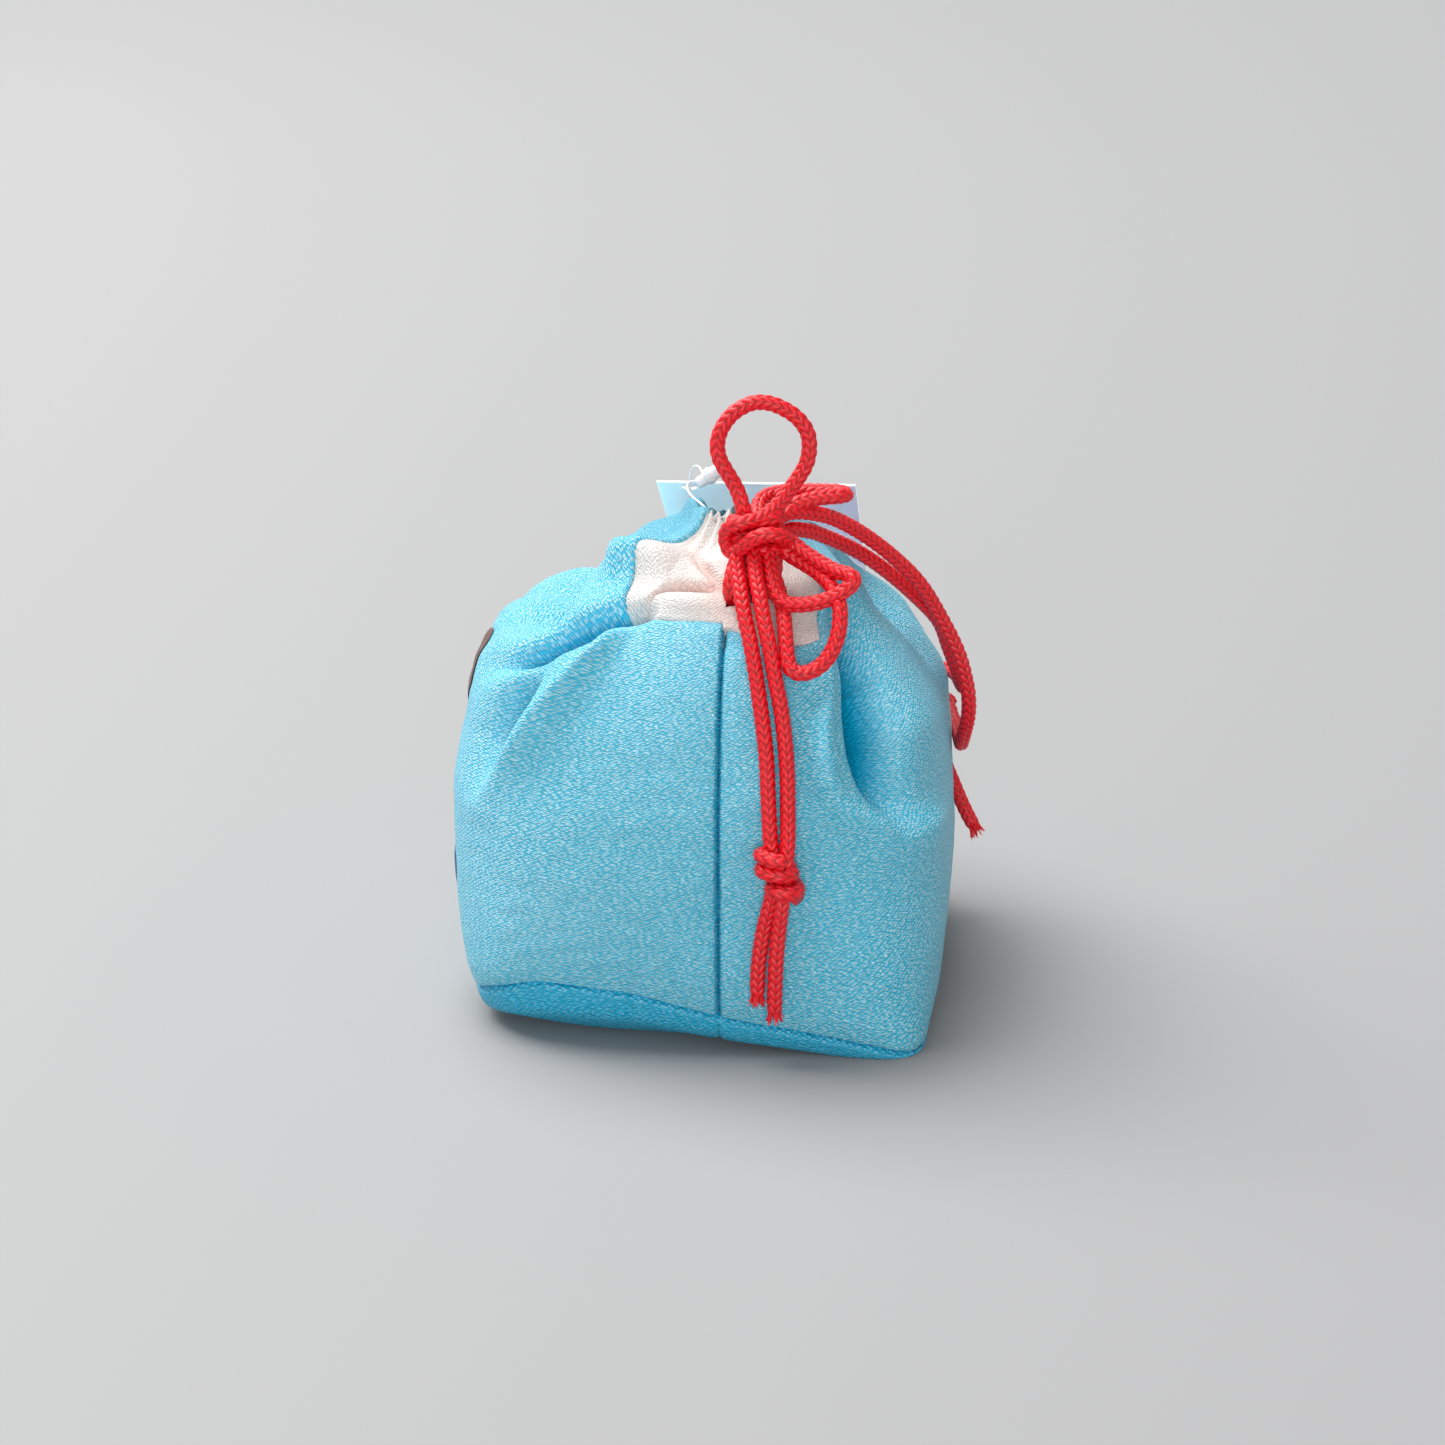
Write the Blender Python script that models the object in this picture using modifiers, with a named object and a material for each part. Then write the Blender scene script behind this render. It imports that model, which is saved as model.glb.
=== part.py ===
"""A small gathered drawstring pouch in crinkled cloth, tied shut with a doubled red cord.

The pouch stands on its flat bottom. +Z is up, the front panel faces -Y, the back panel
faces +Y, and the side with the bow faces +X. Lengths are in metres and turns in degrees.
A place on the pouch wall is given by its turn round the pouch, from 0 at the seam under
the bow, through -90 at the front and 90 at the back, and by its row, from 0 at the middle
of the bottom to 1 at the mouth.
"""
import math

import bmesh
import bpy
import numpy as np

MM = 0.001

# Driving sizes of the pouch.
POUCH_HEIGHT = 0.105
HALF_LENGTH = 0.056
HALF_WIDTH = 0.053
MOUTH_SHIFT = 0.0075
SEAM_SHIFT = 0.0065
BOTTOM_SEAM_SHIFT = 0.006
FAR_DIP = 0.004
CORNER_REACH = 0.0035
GATHER_DEPTH = 0.0009
GATHER_COUNT = 11

# Cloth, and the room between its layers.
OUTER_CLOTH = 0.0009
LINING_CLOTH = 0.0006
FACING_CLOTH = 0.0006
LAYER_GAP = 0.0009
LINING_GAP = 0.0008
SEAM_GAP = 0.0005

# Cord and thread.
CORD_DIAMETER = 0.003
CHANNEL_GAP = 0.0013
THREAD_DIAMETER = 0.0008
CORD_POINT_STEP = 0.0068
THREAD_POINT_STEP = 0.0022

# Knots: cord wound in close turns.
KNOT_PITCH = 0.0035
BOW_KNOT_CENTRE = (0.0340, 0.0125, 0.1068)
BOW_KNOT_RADII = (0.0040, 0.0056)
BOW_KNOT_TURNS = 2.1
FRONT_KNOT_CENTRE = (0.0606, 0.0193, 0.0416)
BACK_KNOT_CENTRE = (-0.0463, 0.0485, 0.0450)
TAIL_KNOT_RADII = (0.0027, 0.0029)
TAIL_KNOT_TURNS = 2.2
KNOT_POINTS_PER_TURN = 10

# Hang tag.
TAG_WIDTH = 0.0427
TAG_LENGTH = 0.078
TAG_THICKNESS = 0.0005
TAG_SLOPE = 30.5
TAG_HOLE_DIAMETER = 0.0034
TAG_HOLE_INSET = 0.0031
TAG_PLACE = (-0.0060, -0.0052)
TAG_REACH_BACK = 0.0145
TAG_CLEARANCE = 0.0004
TAG_SAMPLES = 60
LOCK_SIZE = (0.0052, 0.0064, 0.0042)
LOCK_OFFSET = (0.0048, 0.0046, 0.0038)
LOCK_ROUNDING = 0.0009

# Sewn patches on the front.
PATCH_CLOTH = 0.0004
PATCH_LIFT = 0.0006
PATCH_RINGS = 4
PATCH_SECTORS = 20
LEAF_CENTRE = (-84, 0.605)
LEAF_HALF_SIZE = (0.0150, 0.0095)
DOT_CENTRE = (-72, 0.330)
DOT_HALF_SIZE = (0.0065, 0.0065)
LEAF_POWER, DOT_POWER = 1.25, 2

OVERRUN = 0.004
ROUTE_SAMPLES = 24
TURN_NUDGE = 1.0
ROW_NUDGE = 0.004
TINY = 1e-9

# The wall: row, share of the height, near, far, front and back shares of the half sizes,
# and how square the level is.
LEVEL_SHARES = (
    (0.00, 0.000, 0.00, 0.00, 0.00, 0.00, 4.0),
    (0.10, 0.000, 0.82, 0.78, 0.74, 0.80, 4.6),
    (0.15, 0.015, 0.93, 0.88, 0.86, 0.91, 5.0),
    (0.19, 0.055, 0.96, 0.93, 0.915, 0.945, 5.0),
    (0.24, 0.125, 0.985, 0.965, 0.955, 0.98, 4.4),
    (0.34, 0.280, 1.00, 1.00, 0.995, 1.00, 3.7),
    (0.46, 0.455, 1.00, 0.995, 1.01, 0.99, 3.3),
    (0.57, 0.610, 0.965, 0.95, 0.955, 0.965, 3.0),
    (0.66, 0.735, 0.91, 0.85, 0.90, 0.83, 2.7),
    (0.74, 0.835, 0.82, 0.66, 0.72, 0.56, 2.5),
    (0.81, 0.905, 0.70, 0.47, 0.49, 0.42, 2.3),
    (0.87, 0.950, 0.55, 0.34, 0.34, 0.27, 2.2),
    (0.92, 0.980, 0.41, 0.25, 0.25, 0.20, 2.0),
    (0.96, 1.000, 0.31, 0.205, 0.19, 0.17, 2.0),
    (1.00, 0.985, 0.25, 0.175, 0.155, 0.145, 2.0),
)
GATHER_ROWS = (0.60, 0.95)
RIPPLE_ROWS = (0.78, 0.88)
FAR_DIP_ROWS = (0.80, 0.95)
FAR_DIP_REACH = (-0.2, 0.6)
WALL_RUN_SHARE = 1.57
GIRTH_SHARE = 3.03

# The cross seam that closes the bottom corners under the bow: turn, share of the height.
CROSS_SEAM_SHARES = (
    (-75, 0.055), (-62, 0.066), (-50, 0.075), (-42, 0.100), (-32, 0.130), (-20, 0.121), (-8, 0.094),
    (4, 0.068), (20, 0.045), (33, 0.022), (43, 0.004), (55, 0.020), (75, 0.055),
)
FLAT_ROW, CROSS_SEAM_ROW, LIFT_END_ROW = 0.10, 0.19, 0.42
CORNER_TURN, CORNER_TURN_SPREAD = 43, 9
CORNER_ROW, CORNER_ROW_SPREAD = 0.18, 0.05

# Creases. Depths and widths are shares of the pouch height, and a depth above 0 stands out.
# Round the wall: turn, row, depth, width below, width above.
ROUND_CREASE_SHARES = {
    "left_valley": (
        (-64, 0.680, 0, 0.038, 0.038), (-56, 0.684, -0.011, 0.038, 0.038), (-50, 0.694, -0.029, 0.040, 0.036),
        (-43, 0.715, -0.044, 0.043, 0.034), (-37, 0.738, -0.054, 0.043, 0.032), (-31, 0.760, -0.048, 0.040, 0.028),
        (-26, 0.772, -0.026, 0.036, 0.026), (-20, 0.777, 0, 0.036, 0.026),
    ),
    "left_casing": (
        (-85, 0.775, 0, 0.057, 0.057), (-70, 0.785, 0.011, 0.057, 0.057), (-56, 0.800, 0.032, 0.057, 0.060),
        (-42, 0.828, 0.038, 0.052, 0.052), (-31, 0.838, 0.030, 0.040, 0.040), (-20, 0.845, 0, 0.040, 0.040),
    ),
    "right_shelf": (
        (24, 0.535, 0, 0.040, 0.040), (33, 0.515, 0.013, 0.040, 0.040), (41, 0.490, 0.013, 0.040, 0.040),
        (50, 0.465, 0.008, 0.040, 0.040), (60, 0.450, 0, 0.040, 0.040),
    ),
    "right_casing": (
        (22, 0.800, 0, 0.048, 0.048), (32, 0.805, 0.018, 0.048, 0.048), (45, 0.800, 0.024, 0.055, 0.055),
        (60, 0.790, 0.011, 0.055, 0.055), (75, 0.780, 0, 0.055, 0.055),
    ),
}
# Up the wall: row, turn, depth, width towards the front, width towards the back.
RISING_CREASE_SHARES = {
    "left_ridge": (
        (0.50, -49, 0, 0.040, 0.040), (0.55, -46, 0.008, 0.040, 0.040), (0.62, -40, 0.012, 0.040, 0.040),
        (0.68, -36, 0.015, 0.040, 0.040), (0.74, -29, 0.013, 0.040, 0.040), (0.79, -25, 0, 0.040, 0.040),
    ),
    "left_second": (
        (0.50, -50, 0, 0.032, 0.032), (0.55, -48, -0.008, 0.032, 0.032), (0.60, -44, -0.016, 0.036, 0.036),
        (0.65, -41, -0.008, 0.032, 0.032), (0.69, -40, 0, 0.032, 0.032),
    ),
    "right_ridge": (
        (0.48, 31, 0, 0.040, 0.040), (0.53, 29, 0.011, 0.040, 0.040), (0.57, 27, 0.016, 0.040, 0.040),
        (0.66, 28, 0.018, 0.040, 0.040), (0.71, 30, 0.012, 0.040, 0.040), (0.76, 31, 0, 0.040, 0.040),
    ),
    "right_valley": (
        (0.51, 39, 0, 0.045, 0.068), (0.55, 39, -0.028, 0.045, 0.070), (0.58, 39, -0.048, 0.045, 0.076),
        (0.62, 39, -0.060, 0.045, 0.080), (0.66, 40, -0.062, 0.045, 0.080), (0.70, 41, -0.052, 0.045, 0.080),
        (0.745, 43, -0.026, 0.045, 0.076), (0.79, 44, 0, 0.045, 0.070),
    ),
    "far_front_valley": (
        (0.50, -140, 0, 0.057, 0.057), (0.60, -141, -0.030, 0.066, 0.052), (0.70, -143, -0.045, 0.070, 0.052),
        (0.77, -146, -0.028, 0.066, 0.052), (0.84, -148, 0, 0.052, 0.052),
    ),
    "far_back_valley": (
        (0.48, 138, 0, 0.057, 0.057), (0.58, 140, -0.026, 0.052, 0.066), (0.68, 142, -0.042, 0.052, 0.070),
        (0.76, 145, -0.026, 0.052, 0.066), (0.83, 147, 0, 0.052, 0.052),
    ),
    "front_fold": (
        (0.63, -79, 0, 0.057, 0.057), (0.70, -81, -0.018, 0.057, 0.070), (0.77, -84, -0.028, 0.057, 0.066),
        (0.86, -88, 0, 0.052, 0.052),
    ),
    "front_far_fold": (
        (0.58, -112, 0, 0.057, 0.057), (0.66, -111, -0.015, 0.070, 0.057), (0.75, -109, -0.025, 0.066, 0.057),
        (0.86, -106, 0, 0.052, 0.052),
    ),
    "back_fold": (
        (0.54, 84, 0, 0.057, 0.057), (0.65, 86, -0.016, 0.070, 0.057), (0.75, 88, -0.027, 0.066, 0.057),
        (0.85, 90, 0, 0.052, 0.052),
    ),
    "back_far_fold": (
        (0.50, 114, 0, 0.057, 0.057), (0.62, 112, -0.015, 0.057, 0.070), (0.73, 110, -0.024, 0.057, 0.066),
        (0.84, 108, 0, 0.052, 0.052),
    ),
}

# Where the pieces of cloth start and stop. The notches are where the channel of each panel
# ends at the sides, and the slot is the gap in the facing that lets the cords out.
PANEL_ROWS = (0, 0.10, 0.15, 0.19, 0.24, 0.30, 0.38, 0.46, 0.52, 0.565, 0.61, 0.65, 0.69, 0.725, 0.765,
              0.80, 0.835, 0.87, 0.91, 0.955, 1.0)
LINING_ROWS = (0, 0.10, 0.15, 0.19, 0.25, 0.34, 0.44, 0.52, 0.60, 0.68, 0.74, 0.80, 0.86, 0.92)
NEAR_NOTCH = {"front": (29, 0.765), "back": (33, 0.725)}
FAR_NOTCH = (27, 0.765)
NOTCH_COLUMNS = 6
WALL_COLUMNS = 21
LINING_COLUMNS = 20
FACING_LAST_ROW = 0.91
SLOT_TURN = 23
FAR_SLOT_TURN = 3
LINING_DEPTH_SHARES = ((0, 0), (0.42, 0), (0.56, 0.088), (0.86, 0.088), (0.92, 0.030))

# The drawcords: the channel's row, the turns where the cord enters and leaves it beside the
# slot, and the routes in millimetres from the knot into the slot and out of it again.
DRAWCORDS = {
    "lower_drawcord": (0.805, 3, 20, ((35.2, 8.5, 100.9), (37.2, 9.8, 98.0), (38.8, 11.2, 95.0), (38.4, 10.9, 92.7)),
                       ((34.9, 15.3, 92.4), (35.0, 15.0, 95.2), (33.5, 16.2, 98.0), (32.6, 17.8, 100.8))),
    "upper_drawcord": (0.850, 4.5, 19, ((31.2, 9.8, 101.0), (33.0, 11.8, 98.4), (33.2, 11.2, 96.4)),
                       ((29.2, 13.7, 95.4), (30.3, 13.4, 98.0), (30.4, 14.1, 101.0))),
}
CHANNEL_CORD_POINTS = 36
DRAWCORD_POINT_STEP = 0.0040

# Cord routes in millimetres, each from the knot outwards.
CORD_ROUTES = {
    "top_loop": ((34.0, 10.8, 109.0), (34.0, 10.6, 112.4), (34.0, 9.0, 115.2), (34.0, 6.9, 118.5), (34.0, 5.1, 121.6),
                 (33.5, 4.6, 124.7), (33.0, 5.4, 127.8), (32.5, 7.6, 130.8), (32.0, 11.0, 132.8),
                 (32.0, 14.3, 133.1), (32.0, 17.5, 132.1), (32.0, 20.6, 130.1), (32.0, 22.6, 127.3),
                 (32.0, 23.1, 124.2), (32.0, 22.6, 121.0), (32.4, 20.6, 118.0), (33.2, 17.6, 115.2),
                 (34.0, 14.6, 112.4), (34.0, 14.2, 109.0)),
    "side_loop": ((22.4, 11.5, 110.4), (21.4, 13.8, 111.7), (21.0, 17.0, 112.3), (21.0, 21.2, 112.5),
                  (21.4, 25.4, 112.6), (22.2, 28.6, 112.7), (24.4, 30.3, 112.7), (26.4, 28.8, 112.8),
                  (27.0, 25.2, 112.9), (26.6, 20.8, 112.2), (26.4, 16.8, 111.0)),
    "pointed_loop": ((35.8, 20.5, 105.0), (36.0, 22.8, 103.5), (36.8, 25.8, 102.2), (37.8, 29.2, 101.6),
                     (38.8, 31.9, 101.8), (39.6, 33.3, 101.2), (39.4, 32.3, 99.7), (38.2, 29.4, 98.1),
                     (37.0, 25.8, 97.2), (36.8, 22.2, 96.6), (37.4, 19.6, 96.9), (37.4, 17.7, 98.6),
                     (36.3, 16.4, 100.9)),
    "hanging_loop": ((36.4, 20.6, 101.4), (38.8, 23.3, 100.6), (41.3, 25.7, 99.4), (44.3, 28.2, 97.3),
                     (46.8, 29.8, 94.6), (48.3, 30.2, 91.6), (49.3, 29.8, 88.7), (50.0, 28.6, 85.8),
                     (50.9, 26.8, 83.8), (51.8, 24.6, 82.7), (52.2, 22.4, 82.5), (51.9, 20.6, 83.8),
                     (50.0, 19.8, 87.0), (47.4, 19.3, 90.4), (44.2, 18.9, 93.6), (41.4, 18.2, 97.0),
                     (39.9, 16.9, 100.6)),
    "front_tail_left": ((39.4, 8.8, 100.9), (42.0, 9.6, 98.9), (44.8, 10.4, 96.3), (47.2, 11.2, 93.0),
                        (49.2, 12.3, 89.3), (50.9, 13.2, 85.6), (52.4, 14.2, 80.4), (54.3, 15.4, 73.3),
                        (55.9, 16.4, 65.7), (57.3, 16.9, 57.9), (59.0, 17.3, 50.8), (59.7, 17.5, 45.7)),
    "front_tail_right": ((39.6, 12.4, 101.0), (42.4, 13.2, 99.0), (45.6, 14.2, 96.0), (48.2, 15.2, 92.2),
                         (50.4, 16.4, 87.9), (52.7, 18.0, 80.6), (53.9, 19.2, 75.0), (55.4, 20.2, 67.8),
                         (56.6, 20.7, 61.3), (57.8, 20.9, 54.5), (59.4, 21.0, 50.4), (60.4, 21.0, 47.7)),
    "front_end_left": ((59.4, 17.0, 38.0), (58.6, 15.7, 27.9), (58.2, 15.0, 19.8), (57.8, 14.9, 13.4)),
    "front_end_right": ((62.2, 20.6, 36.0), (60.2, 19.1, 27.8), (59.3, 18.6, 18.7), (58.3, 18.4, 9.8)),
    "back_tail_outer": ((31.0, 20.2, 110.2), (27.0, 23.4, 109.2), (21.5, 27.9, 106.8), (16.0, 33.6, 102.3),
                        (11.5, 39.9, 96.3), (8.0, 45.4, 89.7), (5.0, 50.0, 81.3), (3.4, 52.9, 74.0),
                        (1.6, 54.4, 67.6), (0.0, 54.9, 62.7), (-3.4, 55.0, 57.6), (-10.0, 54.9, 54.4),
                        (-20.0, 54.4, 53.4), (-30.0, 53.4, 53.6), (-38.4, 52.0, 53.8), (-42.6, 51.1, 53.6),
                        (-45.2, 49.5, 52.2)),
    "back_tail_inner": ((31.0, 20.2, 106.4), (26.0, 22.4, 105.2), (20.5, 25.8, 102.8), (14.0, 32.3, 98.1),
                        (9.0, 38.4, 92.6), (4.0, 44.9, 85.5), (0.4, 49.2, 79.7), (-3.0, 51.4, 72.9),
                        (-7.6, 53.3, 66.4), (-15.0, 54.2, 61.2), (-24.0, 53.8, 58.9), (-34.0, 52.4, 58.2),
                        (-41.5, 49.9, 57.2), (-45.6, 47.8, 55.8), (-48.2, 46.9, 52.3)),
    "back_end_outer": ((-44.8, 49.9, 39.0), (-43.0, 51.4, 34.5), (-40.6, 53.1, 29.5), (-38.6, 54.9, 24.5),
                       (-37.0, 57.2, 21.2), (-36.0, 58.8, 19.6)),
    "back_end_inner": ((-48.2, 46.9, 41.1), (-48.6, 47.0, 31.0), (-48.8, 47.7, 23.5), (-48.4, 48.6, 16.5)),
}
# Thread routes in millimetres, from the tag's top edge beside its hole.
THREAD_ROUTES = {
    "tag_thread_rear": ((-2.7, 0.0, -7.1), (-2.7, 0.0, -3.0), (-2.7, 0.2, 1.4), (-1.8, 1.0, 4.1),
                        (0.2, 2.6, 4.6), (1.6, 3.5, 4.1)),
    "tag_thread_front": ((5.8, 0.7, 3.5), (6.9, 0.3, 1.9), (8.8, 0.8, 0.5), (11.0, 2.0, -0.4),
                         (13.2, 3.7, -1.1), (15.0, 5.6, -2.2)),
}


def remove_old_objects():
    for old in list(bpy.data.objects):
        bpy.data.objects.remove(old, do_unlink=True)


def make_collection(name):
    collection = bpy.data.collections.new(name)
    bpy.context.scene.collection.children.link(collection)
    return collection


def make_material(name, colour, roughness, metallic=0.0, sheen=0.0):
    material = bpy.data.materials.new(name)
    material.use_nodes = True
    shader = material.node_tree.nodes["Principled BSDF"]
    shader.inputs["Base Color"].default_value = (*colour, 1.0)
    shader.inputs["Roughness"].default_value = roughness
    shader.inputs["Metallic"].default_value = metallic
    shader.inputs["Sheen Weight"].default_value = sheen
    material.diffuse_color = (*colour, 1.0)
    return material


def place_piece(name, data, material):
    """Link a mesh or curve as a named piece with its own copy of a material."""
    piece = bpy.data.objects.new(name, data)
    PIECES.objects.link(piece)
    own = material.copy()
    own.name = name + "_finish"
    data.materials.append(own)
    return piece


def ease(value, low, high):
    """A smooth step from 0 at low to 1 at high."""
    t = np.clip((value - low) / (high - low), 0, 1)
    return t * t * (3 - 2 * t)


def read_rows(table, place):
    """Read a table at places between its rows, on a smooth curve that never overshoots."""
    table = np.asarray(table, dtype=float)
    x, y = table[:, 0], table[:, 1:]
    step = np.diff(x)[:, None]
    slope = np.diff(y, axis=0) / step
    before, after = slope[:-1], slope[1:]
    same_way = before * after > 0
    safe_before = np.where(same_way, before, 1)
    safe_after = np.where(same_way, after, 1)
    weight_before, weight_after = 2 * step[1:] + step[:-1], step[1:] + 2 * step[:-1]
    mean = (weight_before + weight_after) / (weight_before / safe_before + weight_after / safe_after)
    lean = np.vstack((slope[:1], np.where(same_way, mean, 0), slope[-1:]))
    place = np.clip(place, x[0], x[-1])
    k = np.clip(np.searchsorted(x, place, side="right") - 1, 0, len(x) - 2)
    width = (x[k + 1] - x[k])[..., None]
    t = (place - x[k])[..., None] / width
    start, end = 2 * t**3 - 3 * t**2 + 1, 3 * t**2 - 2 * t**3
    start_lean, end_lean = t**3 - 2 * t**2 + t, t**3 - t**2
    return start * y[k] + start_lean * width * lean[k] + end * y[k + 1] + end_lean * width * lean[k + 1]


def wrap_turn(turn):
    return (turn + 180) % 360 - 180


def smooth_wall(turn, row):
    """The wall without its creases: squared ovals, shifted and lifted as the full pouch leans."""
    high, near, far, front, back, power = np.moveaxis(read_rows(LEVEL_SHARES, row), -1, 0)
    c, s = np.cos(np.radians(turn)), np.sin(np.radians(turn))
    along = np.where(c > 0, near, far) * HALF_LENGTH + TINY
    across = np.where(s > 0, back, front) * HALF_WIDTH + TINY
    reach = ((np.abs(c) / along) ** power + (np.abs(s) / across) ** power) ** (-1 / power)
    x, y, z = reach * c, reach * s, high * POUCH_HEIGHT
    gather = ease(row, GATHER_ROWS[0], GATHER_ROWS[1])
    middle = (1 - np.clip(np.abs(y) / across, 0, 1) ** 2) * np.clip(x / along, 0, 1)
    flat = 1 - ease(row, 0, FLAT_ROW)
    y = y + SEAM_SHIFT * (1 - gather) * (1 - flat) * middle + MOUTH_SHIFT * gather - BOTTOM_SEAM_SHIFT * flat
    lift = read_rows(CROSS_SEAM_SHARES, wrap_turn(turn))[..., 0] - CROSS_SEAM_SHARES[0][1]
    lifted = ease(row, FLAT_ROW, CROSS_SEAM_ROW) * (1 - ease(row, CROSS_SEAM_ROW, LIFT_END_ROW))
    dip = ease(-c, FAR_DIP_REACH[0], FAR_DIP_REACH[1]) * ease(row, FAR_DIP_ROWS[0], FAR_DIP_ROWS[1])
    z = np.maximum(z + lift * POUCH_HEIGHT * lifted - FAR_DIP * dip, 0)
    corner_turn = (wrap_turn(turn) - CORNER_TURN) / CORNER_TURN_SPREAD
    corner = CORNER_REACH * np.exp(-corner_turn**2 - ((row - CORNER_ROW) / CORNER_ROW_SPREAD) ** 2)
    return np.stack((x + corner * c, y + corner * s, z), -1)


def crease_depth(turn, row):
    """How far the creases push the wall out, a smooth ridge or valley across each crease line."""
    turn = wrap_turn(turn)
    total = np.zeros(turn.shape)
    wall_run, one_turn = WALL_RUN_SHARE * POUCH_HEIGHT, GIRTH_SHARE * POUCH_HEIGHT / 360
    for creases, place, other, unit in ((ROUND_CREASE_SHARES, turn, row, wall_run),
                                        (RISING_CREASE_SHARES, row, turn, one_turn)):
        for table in creases.values():
            middle, depth, before, after = np.moveaxis(read_rows(table, place), -1, 0)
            away = (other - middle) * unit
            width = np.where(away < 0, before, after) * POUCH_HEIGHT
            total = total + depth * POUCH_HEIGHT * np.exp(-((away / width) ** 2))
    return total


def wall_point(turn, row, depth=0.0, creased=True):
    """A place in the wall, at a depth inwards from the cloth's outer face."""
    turn, row = np.broadcast_arrays(np.asarray(turn, float), np.asarray(row, float))
    low, high = np.clip(row - ROW_NUDGE, 0, 1), np.clip(row + ROW_NUDGE, 0, 1)
    round_way = smooth_wall(turn + TURN_NUDGE, row) - smooth_wall(turn - TURN_NUDGE, row)
    outward = np.cross(round_way, smooth_wall(turn, high) - smooth_wall(turn, low))
    length = np.linalg.norm(outward, axis=-1, keepdims=True)
    outward = np.where(length > 0, outward / np.maximum(length, TINY**2), (0, 0, -1))
    out = -np.broadcast_to(depth, turn.shape)
    if creased:
        ripple = np.cos(np.radians(turn) * GATHER_COUNT)
        out = out + crease_depth(turn, row) + GATHER_DEPTH * ripple * ease(row, RIPPLE_ROWS[0], RIPPLE_ROWS[1])
    return smooth_wall(turn, row) + outward * out[..., None]


def lining_depth(row):
    share = read_rows(LINING_DEPTH_SHARES, row)[..., 0]
    return OUTER_CLOTH + LINING_GAP + share * POUCH_HEIGHT


def sheet_mesh(name, grid, keep, closed=False):
    """An open surface over a grid of points, made of the cells that are kept.

    A first row that is one point becomes a single vertex with a fan of triangles round it,
    and a closed surface joins its last column to its first.
    """
    rows, columns = grid.shape[:2]
    index = np.arange(rows * columns).reshape(rows, columns)
    if closed:
        index[:, -1] = index[:, 0]
    if np.ptp(grid[0], axis=0).max() < TINY:
        index[0] = index[0, 0]
    faces = []
    for i, j in np.argwhere(keep):
        ring = [index[i, j], index[i, j + 1], index[i + 1, j + 1], index[i + 1, j]]
        faces.append([int(k) for n, k in enumerate(ring) if k != ring[n - 1]])
    mesh = bpy.data.meshes.new(name)
    mesh.from_pydata(grid.reshape(-1, 3).tolist(), [], faces)
    shape = bmesh.new()
    shape.from_mesh(mesh)
    loose = [vertex for vertex in shape.verts if not vertex.link_faces]
    bmesh.ops.delete(shape, geom=loose, context="VERTS")
    shape.to_mesh(mesh)
    shape.free()
    return mesh


def thicken(piece, thickness, offset):
    solid = piece.modifiers.new("cloth", "SOLIDIFY")
    solid.thickness = thickness
    solid.offset = offset


def cloth_piece(name, turns, rows, depth, cloth, material, keep=None, creased=True):
    """Lay a piece of cloth in the wall, its outer face at the given depth and the rest inwards."""
    side = int(np.sign(turns.mean()))
    grid_turn, grid_row = np.meshgrid(turns[::side], rows)
    depth = np.broadcast_to(np.reshape(depth, (-1, 1)), grid_turn.shape)
    grid = wall_point(grid_turn, grid_row, depth, creased)
    grid[..., 2] = np.where(grid_row <= FLAT_ROW, depth, np.maximum(grid[..., 2], depth))
    if keep is None:
        keep = np.ones((len(rows) - 1, len(turns) - 1), bool)
    mesh = sheet_mesh(name, grid + (0, side * SEAM_GAP / 2, 0), keep[:, ::side])
    thicken(place_piece(name, mesh, material), cloth, -1)


def panel_turns(side):
    """The turns of a panel's columns, from the seam under the bow to the far seam."""
    near, far = NEAR_NOTCH[side][0], 180 - FAR_NOTCH[0]
    turns = np.concatenate((np.linspace(0, near, NOTCH_COLUMNS + 1), np.linspace(near, far, WALL_COLUMNS + 1)[1:],
                            np.linspace(far, 180, NOTCH_COLUMNS + 1)[1:]))
    return turns * SIDES[side]


def outer_panel(side):
    turns, rows = panel_turns(side), np.array(PANEL_ROWS)
    keep = np.ones((len(rows) - 1, len(turns) - 1), bool)
    keep[rows[:-1] >= NEAR_NOTCH[side][1], :NOTCH_COLUMNS] = False
    keep[rows[:-1] >= FAR_NOTCH[1], -NOTCH_COLUMNS:] = False
    cloth_piece("outer_" + side + "_panel", turns, rows, 0, OUTER_CLOTH, CREPE, keep)


def lining_panel(side):
    turns = np.linspace(0, 180, LINING_COLUMNS + 1) * SIDES[side]
    rows = np.array(LINING_ROWS)
    cloth_piece("lining_" + side + "_panel", turns, rows, lining_depth(rows), LINING_CLOTH, LINING, None, False)


def facings(side):
    """The white strips in the notches, tucked one column and one row under the outer panel."""
    turns, rows = panel_turns(side), np.array(PANEL_ROWS)
    depth = OUTER_CLOTH + LAYER_GAP
    near_turns = turns[:NOTCH_COLUMNS + 2]
    if side == "back":
        near_turns = np.concatenate(((SLOT_TURN,), near_turns[near_turns > SLOT_TURN]))
    far_turns = turns[-NOTCH_COLUMNS - 2:].copy()
    far_turns[-1] = SIDES[side] * (180 - FAR_SLOT_TURN / 2)
    ends = (("near", near_turns, NEAR_NOTCH[side][1]), ("far", far_turns, FAR_NOTCH[1]))
    for end, end_turns, notch_row in ends:
        first = np.searchsorted(rows, notch_row) - 1
        end_rows = rows[first:][rows[first:] <= FACING_LAST_ROW]
        cloth_piece(end + "_facing_" + side, end_turns, end_rows, depth, FACING_CLOTH, FACING)


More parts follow.
